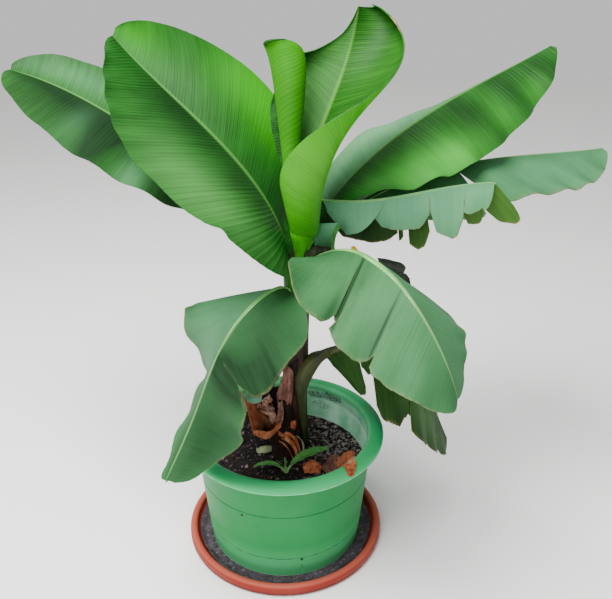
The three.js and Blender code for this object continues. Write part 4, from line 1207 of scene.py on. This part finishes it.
def make_leaf_sheaths(materials, bark):
    """Each stalk's base clasps the stem in a sheath that widens and thins downwards."""
    for leaf in LEAVES:
        if "azimuth" not in leaf or leaf["name"] == "leaf_9":
            continue
        top_height = leaf["height"] + 4
        drop = min(SHEATH_DROP, top_height - 200)
        piece, down, around = new_grid(leaf["name"] + "_sheath", 60, 30)
        height = top_height - drop * down
        half = np.radians(lerp(*SHEATH_HALF_ANGLES, down ** 0.7))
        angle = math.radians(leaf["azimuth"]) + (2 * around - 1) * half
        bulge = lerp(6, 0.8, smooth(0, 0.35, down)) * np.cos((2 * around - 1) * np.pi / 2) ** 0.5
        seed = leaf["height"]
        wander = 0.7 * dapple(around * 14, height / 40, seed) + 0.4 * ripple(around * 60, seed)
        radius = stem_radius(height) + 0.6 + bulge + wander
        place_points(piece, stem_centre(height) + around_axis(radius, angle))
        map_surface(piece, down * drop, around * 60)
        # Leaf_2's sheath takes its leaf's under face, painted darker downwards, painted shade
        if leaf["name"] == "leaf_2":
            paint(piece, "across", 0.5 + 0 * down)
            paint(piece, "shade", 1.2 * down)
            dress(piece, materials["bright"][1])
        else:
            dress(piece, bark)
        thicken(piece, SHEATH_THICKNESS)
        attach(piece, LEAF_LOOKS[leaf["finish"]]["slot"])
    clasp = draped("leaf_9_sheath", LEAF_9_CLASP, 110, 30, 1.6, 0.5, 63, CLASP_SHADE)
    dress(clasp, materials["old"][2])
    attach(clasp, "leaf_old")


def make_crown(materials, tissues, bark):
    """Where the youngest leaf's rolled base and its neighbours' folded edges leave the stem."""
    cones = []
    for index, course in enumerate(ROLLED_BASES):
        table = [[(centre[0] + wide * math.cos(turn), centre[1] + deep * math.sin(turn), centre[2])
                  for turn in np.linspace(0, 2 * math.pi, 13)] for centre, wide, deep in course]
        piece, down, around = new_grid("base", 50, 48)
        points = through_table(table, down, around)
        points[:, :2] += (0.5 * dapple(around * 12, down * 4, 81 + index))[:, None]
        place_points(piece, points)
        map_surface(piece, around * 100, down * 80)
        paint(piece, "across", 0.5 + 0 * down)
        # Darker downwards, painted shade
        paint(piece, "shade", 0.45 * down ** 2)
        cones.append(piece)
    base = join("leaf_3_base", cones)
    dress(base, materials["young"][1])
    thicken(base, 1.2)
    attach(base, "leaf_young")
    surfaces = dict(tissues, bark=bark)
    for finish in ("dusty", "mid", "bright", "shoot"):
        surfaces[finish] = materials[finish][0]
    for name, finish, slot, pale, table in CROWN_FOLDS:
        piece = draped(name, table, 34, 34, 1.4, 0.5, 91, pale=pale)
        dress(piece, surfaces[finish])
        attach(piece, slot)


def make_dry_sheath(tissues):
    """The withered sheath hangs open like a scoop. Curled bits lie in it, plates and strips beside it."""
    shell = draped("dry_sheath_shell", DRY_SCOOP, 100, 90, 1.3, 1.1, 31, SCOOP_SHADE)
    dress(shell, tissues["dry"])
    attach(shell, "dry_leaf", "dry_sheath")
    for name, tables, finish, rough in DRY_BITS:
        strips = [draped("strip", table, 40, 24, 1.0, rough, 40 + 3 * index)
                  for index, table in enumerate(tables)]
        piece = join(name, strips)
        dress(piece, tissues[finish])
        attach(piece, "dry_leaf")


def make_scraps(tissues):
    for name, table, finish, nodes in SCRAPS:
        piece = draped(name, table, 44, 36, 1.1, 1.3, 55)
        dress(piece, tissues[finish])
        attach(piece, "dry_leaf", *nodes)


# ---- pot, saucer and soil ----

def make_pot(material):
    rim_middle = (RIM_RADIUS + RIM_INNER_RADIUS) / 2
    rim_half = (RIM_RADIUS - RIM_INNER_RADIUS) / 2
    inner_foot = POT_FOOT_RADIUS - POT_WALL
    top = POT_HEIGHT - RIM_DEPTH

    def wall(height):
        return lerp(POT_FOOT_RADIUS, POT_BODY_TOP_RADIUS, height / top)

    profile = [(0.01, 3), (POT_FOOT_RADIUS - 14, 3), (POT_FOOT_RADIUS - 12, 0), (POT_FOOT_RADIUS - 5, 0)]
    profile += arc(POT_FOOT_RADIUS - 5, 5, 5, -70, -5, 5)
    for seam in POT_SEAMS:
        groove = wall(seam) - 0.9
        profile += [(wall(seam - 1.6), seam - 1.6), (groove, seam - 0.3), (groove, seam + 0.3),
                    (wall(seam + 1.6), seam + 1.6)]
    profile += [(wall(top - 3), top - 3), (wall(top) + 0.5, top - 0.5), (RIM_RADIUS - 4, top + 12)]
    profile += arc(RIM_RADIUS - 2, top + 14, 2, -60, 0, 4)
    profile += arc(rim_middle, POT_HEIGHT - RIM_CROWN, rim_half, 0, 180, 20, RIM_CROWN / rim_half)
    profile += [(RIM_INNER_RADIUS + 0.3, top + 4), (RIM_INNER_RADIUS, top - 2)]
    profile += [(lerp(inner_foot, RIM_INNER_RADIUS, 0.5), top / 2), (inner_foot, 6), (0.01, 5)]
    pot = turned("nursery_pot", [(radius, height + POT_BASE) for radius, height in profile])
    dress(pot, material)
    soften(pot, 30)
    attach(pot, "green_plastic", "pot")


def make_saucer(material, mud):
    lip_radius, lip_height = SAUCER_RADIUS - SAUCER_LIP, SAUCER_HEIGHT - SAUCER_LIP
    foot = SAUCER_FOOT_RADIUS
    profile = [(0.01, 1.2), (foot - 8, 1.2), (foot - 6, 0), (foot - 1, 0), (foot + 1, 1)]
    profile += [(lip_radius, 1.2), (lip_radius + 4, 3), (lip_radius + 6, 8)]
    profile += arc(lip_radius - 2, lip_height + 3, SAUCER_LIP + 1, -20, 180, 20)
    profile += [(lip_radius - 14, 10), (foot, 5), (foot - 8, SAUCER_FLOOR), (0.01, SAUCER_FLOOR)]
    saucer = turned("rolled_lip_saucer", profile)
    dress(saucer, material)
    soften(saucer, 30)
    attach(saucer, "terracotta_plastic", "saucer")
    ring, around, across = new_grid("saucer_mud", 260, 14)
    angle = 2 * np.pi * around
    radius = lerp(MUD_RADII[0], MUD_RADII[1] + 1.5 * ripple(around * 40, 51), across)
    bed = lerp(5.2, 9.5, smooth(0.5, 1, across))
    rough = 0.7 * dapple(around * 60, across * 3, 52) + 0.25 * dapple(around * 300, across * 10, 53)
    height = bed + rough * np.sin(np.pi * across) + 1.2
    place_points(ring, around_axis(radius, angle, height))
    map_surface(ring, around * 1000, across * 30)
    edit_all(ring, lambda: bpy.ops.mesh.remove_doubles(threshold=1e-6))
    dress(ring, mud)
    thicken(ring, 1.2, -1)
    attach(ring, "potting_soil")


def soil_hollow(x, y):
    """How far the soil has sunk at the back right."""
    return SOIL_SUNK * smooth(25, 135, 0.75 * x + 0.66 * y)


def make_soil(material, crumb_material):
    base = POT_BASE + 5.3
    inner_foot = POT_FOOT_RADIUS - POT_WALL
    bottom_radius = inner_foot - 0.6
    filled = (SOIL_LEVEL - POT_BASE) / (POT_HEIGHT - RIM_DEPTH)
    top_radius = lerp(inner_foot, RIM_INNER_RADIUS, filled) - 0.6
    rings = [(r, SOIL_LEVEL) for r in np.linspace(top_radius, 0.01, 56)]
    soil = turned("potting_soil_bed", [(0.01, base), (bottom_radius, base), *rings], 180)
    points = read_points(soil) / MM
    x, y, height = points.T
    upper = height > SOIL_LEVEL - 1
    on_top = upper & (np.hypot(x, y) < top_radius - 0.5)
    lumps = 0
    for swing, pitch, shift, seed in ((2.2, 26, 10, 61), (1.6, 9, 30, 62), (0.9, 3.6, 60, 63)):
        lumps = lumps + swing * dapple(x / pitch + shift, y / pitch + shift, seed)
    hollow = soil_hollow(x, y) * upper
    points[:, 2] += np.where(on_top, lumps - 1.2, 0) - hollow
    points[:, :2] *= (1 - INNER_TAPER * hollow / top_radius)[:, None]
    place_points(soil, points)
    dress(soil, material)
    soften(soil, 60)
    attach(soil, "potting_soil", "soil")

    # Two crumbs are modelled, the larger with more faces, then copied at many sizes and turns
    lumps = []
    for level in (1, 2):
        bpy.ops.object.select_all(action="DESELECT")
        bpy.ops.mesh.primitive_ico_sphere_add(subdivisions=level, radius=1, location=(0, 0, 0))
        shape = read_points(bpy.context.object)
        rough = 1 + 0.22 * dapple(shape[:, 0] * 2 + 9, shape[:, 1] * 2 + shape[:, 2] * 1.7 + 9, 71)
        lumps.append((named("soil_crumb"), shape * rough[:, None]))
    draw = np.random.default_rng(72)
    crumbs = []
    for index in range(CRUMBS):
        large = index % 14 == 0
        distance = top_radius * math.sqrt(draw.uniform(0.02, 0.95))
        turn = draw.uniform(0, 2 * math.pi)
        lump, shape = lumps[large]
        size = draw.uniform(2.4, 4.8) if large else draw.uniform(0.8, 2.1)
        squash = draw.uniform(0.55, 0.9)
        spin = draw.uniform(0, 2 * math.pi)
        cosine, sine = math.cos(spin), math.sin(spin)
        x, y = distance * math.cos(turn), distance * math.sin(turn)
        height = SOIL_LEVEL - soil_hollow(x, y) + 0.3 * size
        spun = shape @ np.array([[cosine, sine, 0], [-sine, cosine, 0], [0, 0, 1]])
        crumb = lump.copy()
        crumb.data = lump.data.copy()
        bpy.context.collection.objects.link(crumb)
        place_points(crumb, spun * [size, size, size * squash] + [x, y, height])
        crumbs.append(crumb)
    for lump, _ in lumps:
        bpy.data.objects.remove(lump)
    heap = join("soil_crumbs", crumbs)
    dress(heap, crumb_material)
    soften(heap)
    attach(heap, "potting_soil")


# ---- stage ----

# The picture is 612 points wide, and the camera's focal length is 710 of them
PICTURE_WIDTH = 612
FOCAL_LENGTH = 710
SENSOR_WIDTH = 36
CAMERA_PLACE = (0.044, -1.2, 1.085)
CAMERA_DOWN = 0.43


def make_stage():
    bpy.ops.object.select_all(action="DESELECT")
    bpy.ops.mesh.primitive_plane_add(size=14, location=(0, 0, 0))
    floor = named("studio_floor")
    dress(floor, floor_material())
    for name, place, size, power in (("overhead_softbox", (-0.75, -0.7, 2.9), 1.7, 215),
                                     ("front_fill", (-1.3, -2.7, 1.9), 1.8, 55)):
        turn = (Vector((0, 0, 0.5)) - Vector(place)).to_track_quat("-Z", "Y").to_euler()
        bpy.ops.object.light_add(type="AREA", location=place, rotation=turn)
        light = named(name)
        light.data.size = size
        light.data.energy = power
    world = bpy.data.worlds.new("soft_room")
    bpy.context.scene.world = world
    world.use_nodes = True
    room = world.node_tree.nodes["Background"].inputs
    room["Color"].default_value = (1, 1, 1, 1)
    room["Strength"].default_value = 0.7
    bpy.ops.object.camera_add(location=CAMERA_PLACE, rotation=(math.pi / 2 - CAMERA_DOWN, 0, 0))
    camera = named("view_camera")
    camera.data.sensor_width = SENSOR_WIDTH
    camera.data.lens = SENSOR_WIDTH * FOCAL_LENGTH / PICTURE_WIDTH
    bpy.context.scene.camera = camera


make_stage()
leaf_materials = {
    finish: (leaf_material(*look["top"]), leaf_material(*look["under"]), rib_material(*look["rib"]))
    for finish, look in LEAF_LOOKS.items()}
tissues = {finish: fibre_material(*look) for finish, look in TISSUE_LOOKS.items()}
bark = stem_material()
for number, leaf_spec in enumerate(LEAVES):
    make_leaf(leaf_spec, 100 + 20 * number, leaf_materials)
make_leaf_sheaths(leaf_materials, bark)
make_crown(leaf_materials, tissues, bark)
make_sucker(leaf_materials)
make_stem(bark)
make_dry_sheath(tissues)
make_scraps(tissues)
# The pot's inner wall takes two very pale greens, partly painted light
make_pot(plastic_material(
    "moulded_green_polypropylene", "#10763a", "#2a8a4a", "#0c1a12", 0.42, POT_DIRT_AND_PAINTED_LIGHT, ("#b8ecd0", "#80cca0")))
make_saucer(
    plastic_material("moulded_terracotta_polypropylene", "#84281e", "#a04a3a", "#2a1814", 0.45, SAUCER_HIGHLIGHT_AND_DARK_BASE),
    soil_material("wet_saucer_mud", "#2a2428", "#4c444c", "#565056", 0.5, dried=0))
make_soil(soil_material("damp_potting_soil", "#080607", "#2c2020", "#8c7e80", shown=(0.9, 1.12), dried=0.31),
          soil_material("dry_soil_crumbs", "#120d0c", "#4c3a36", "#a49696", shown=(0.6, 1.1), dried=0.3))
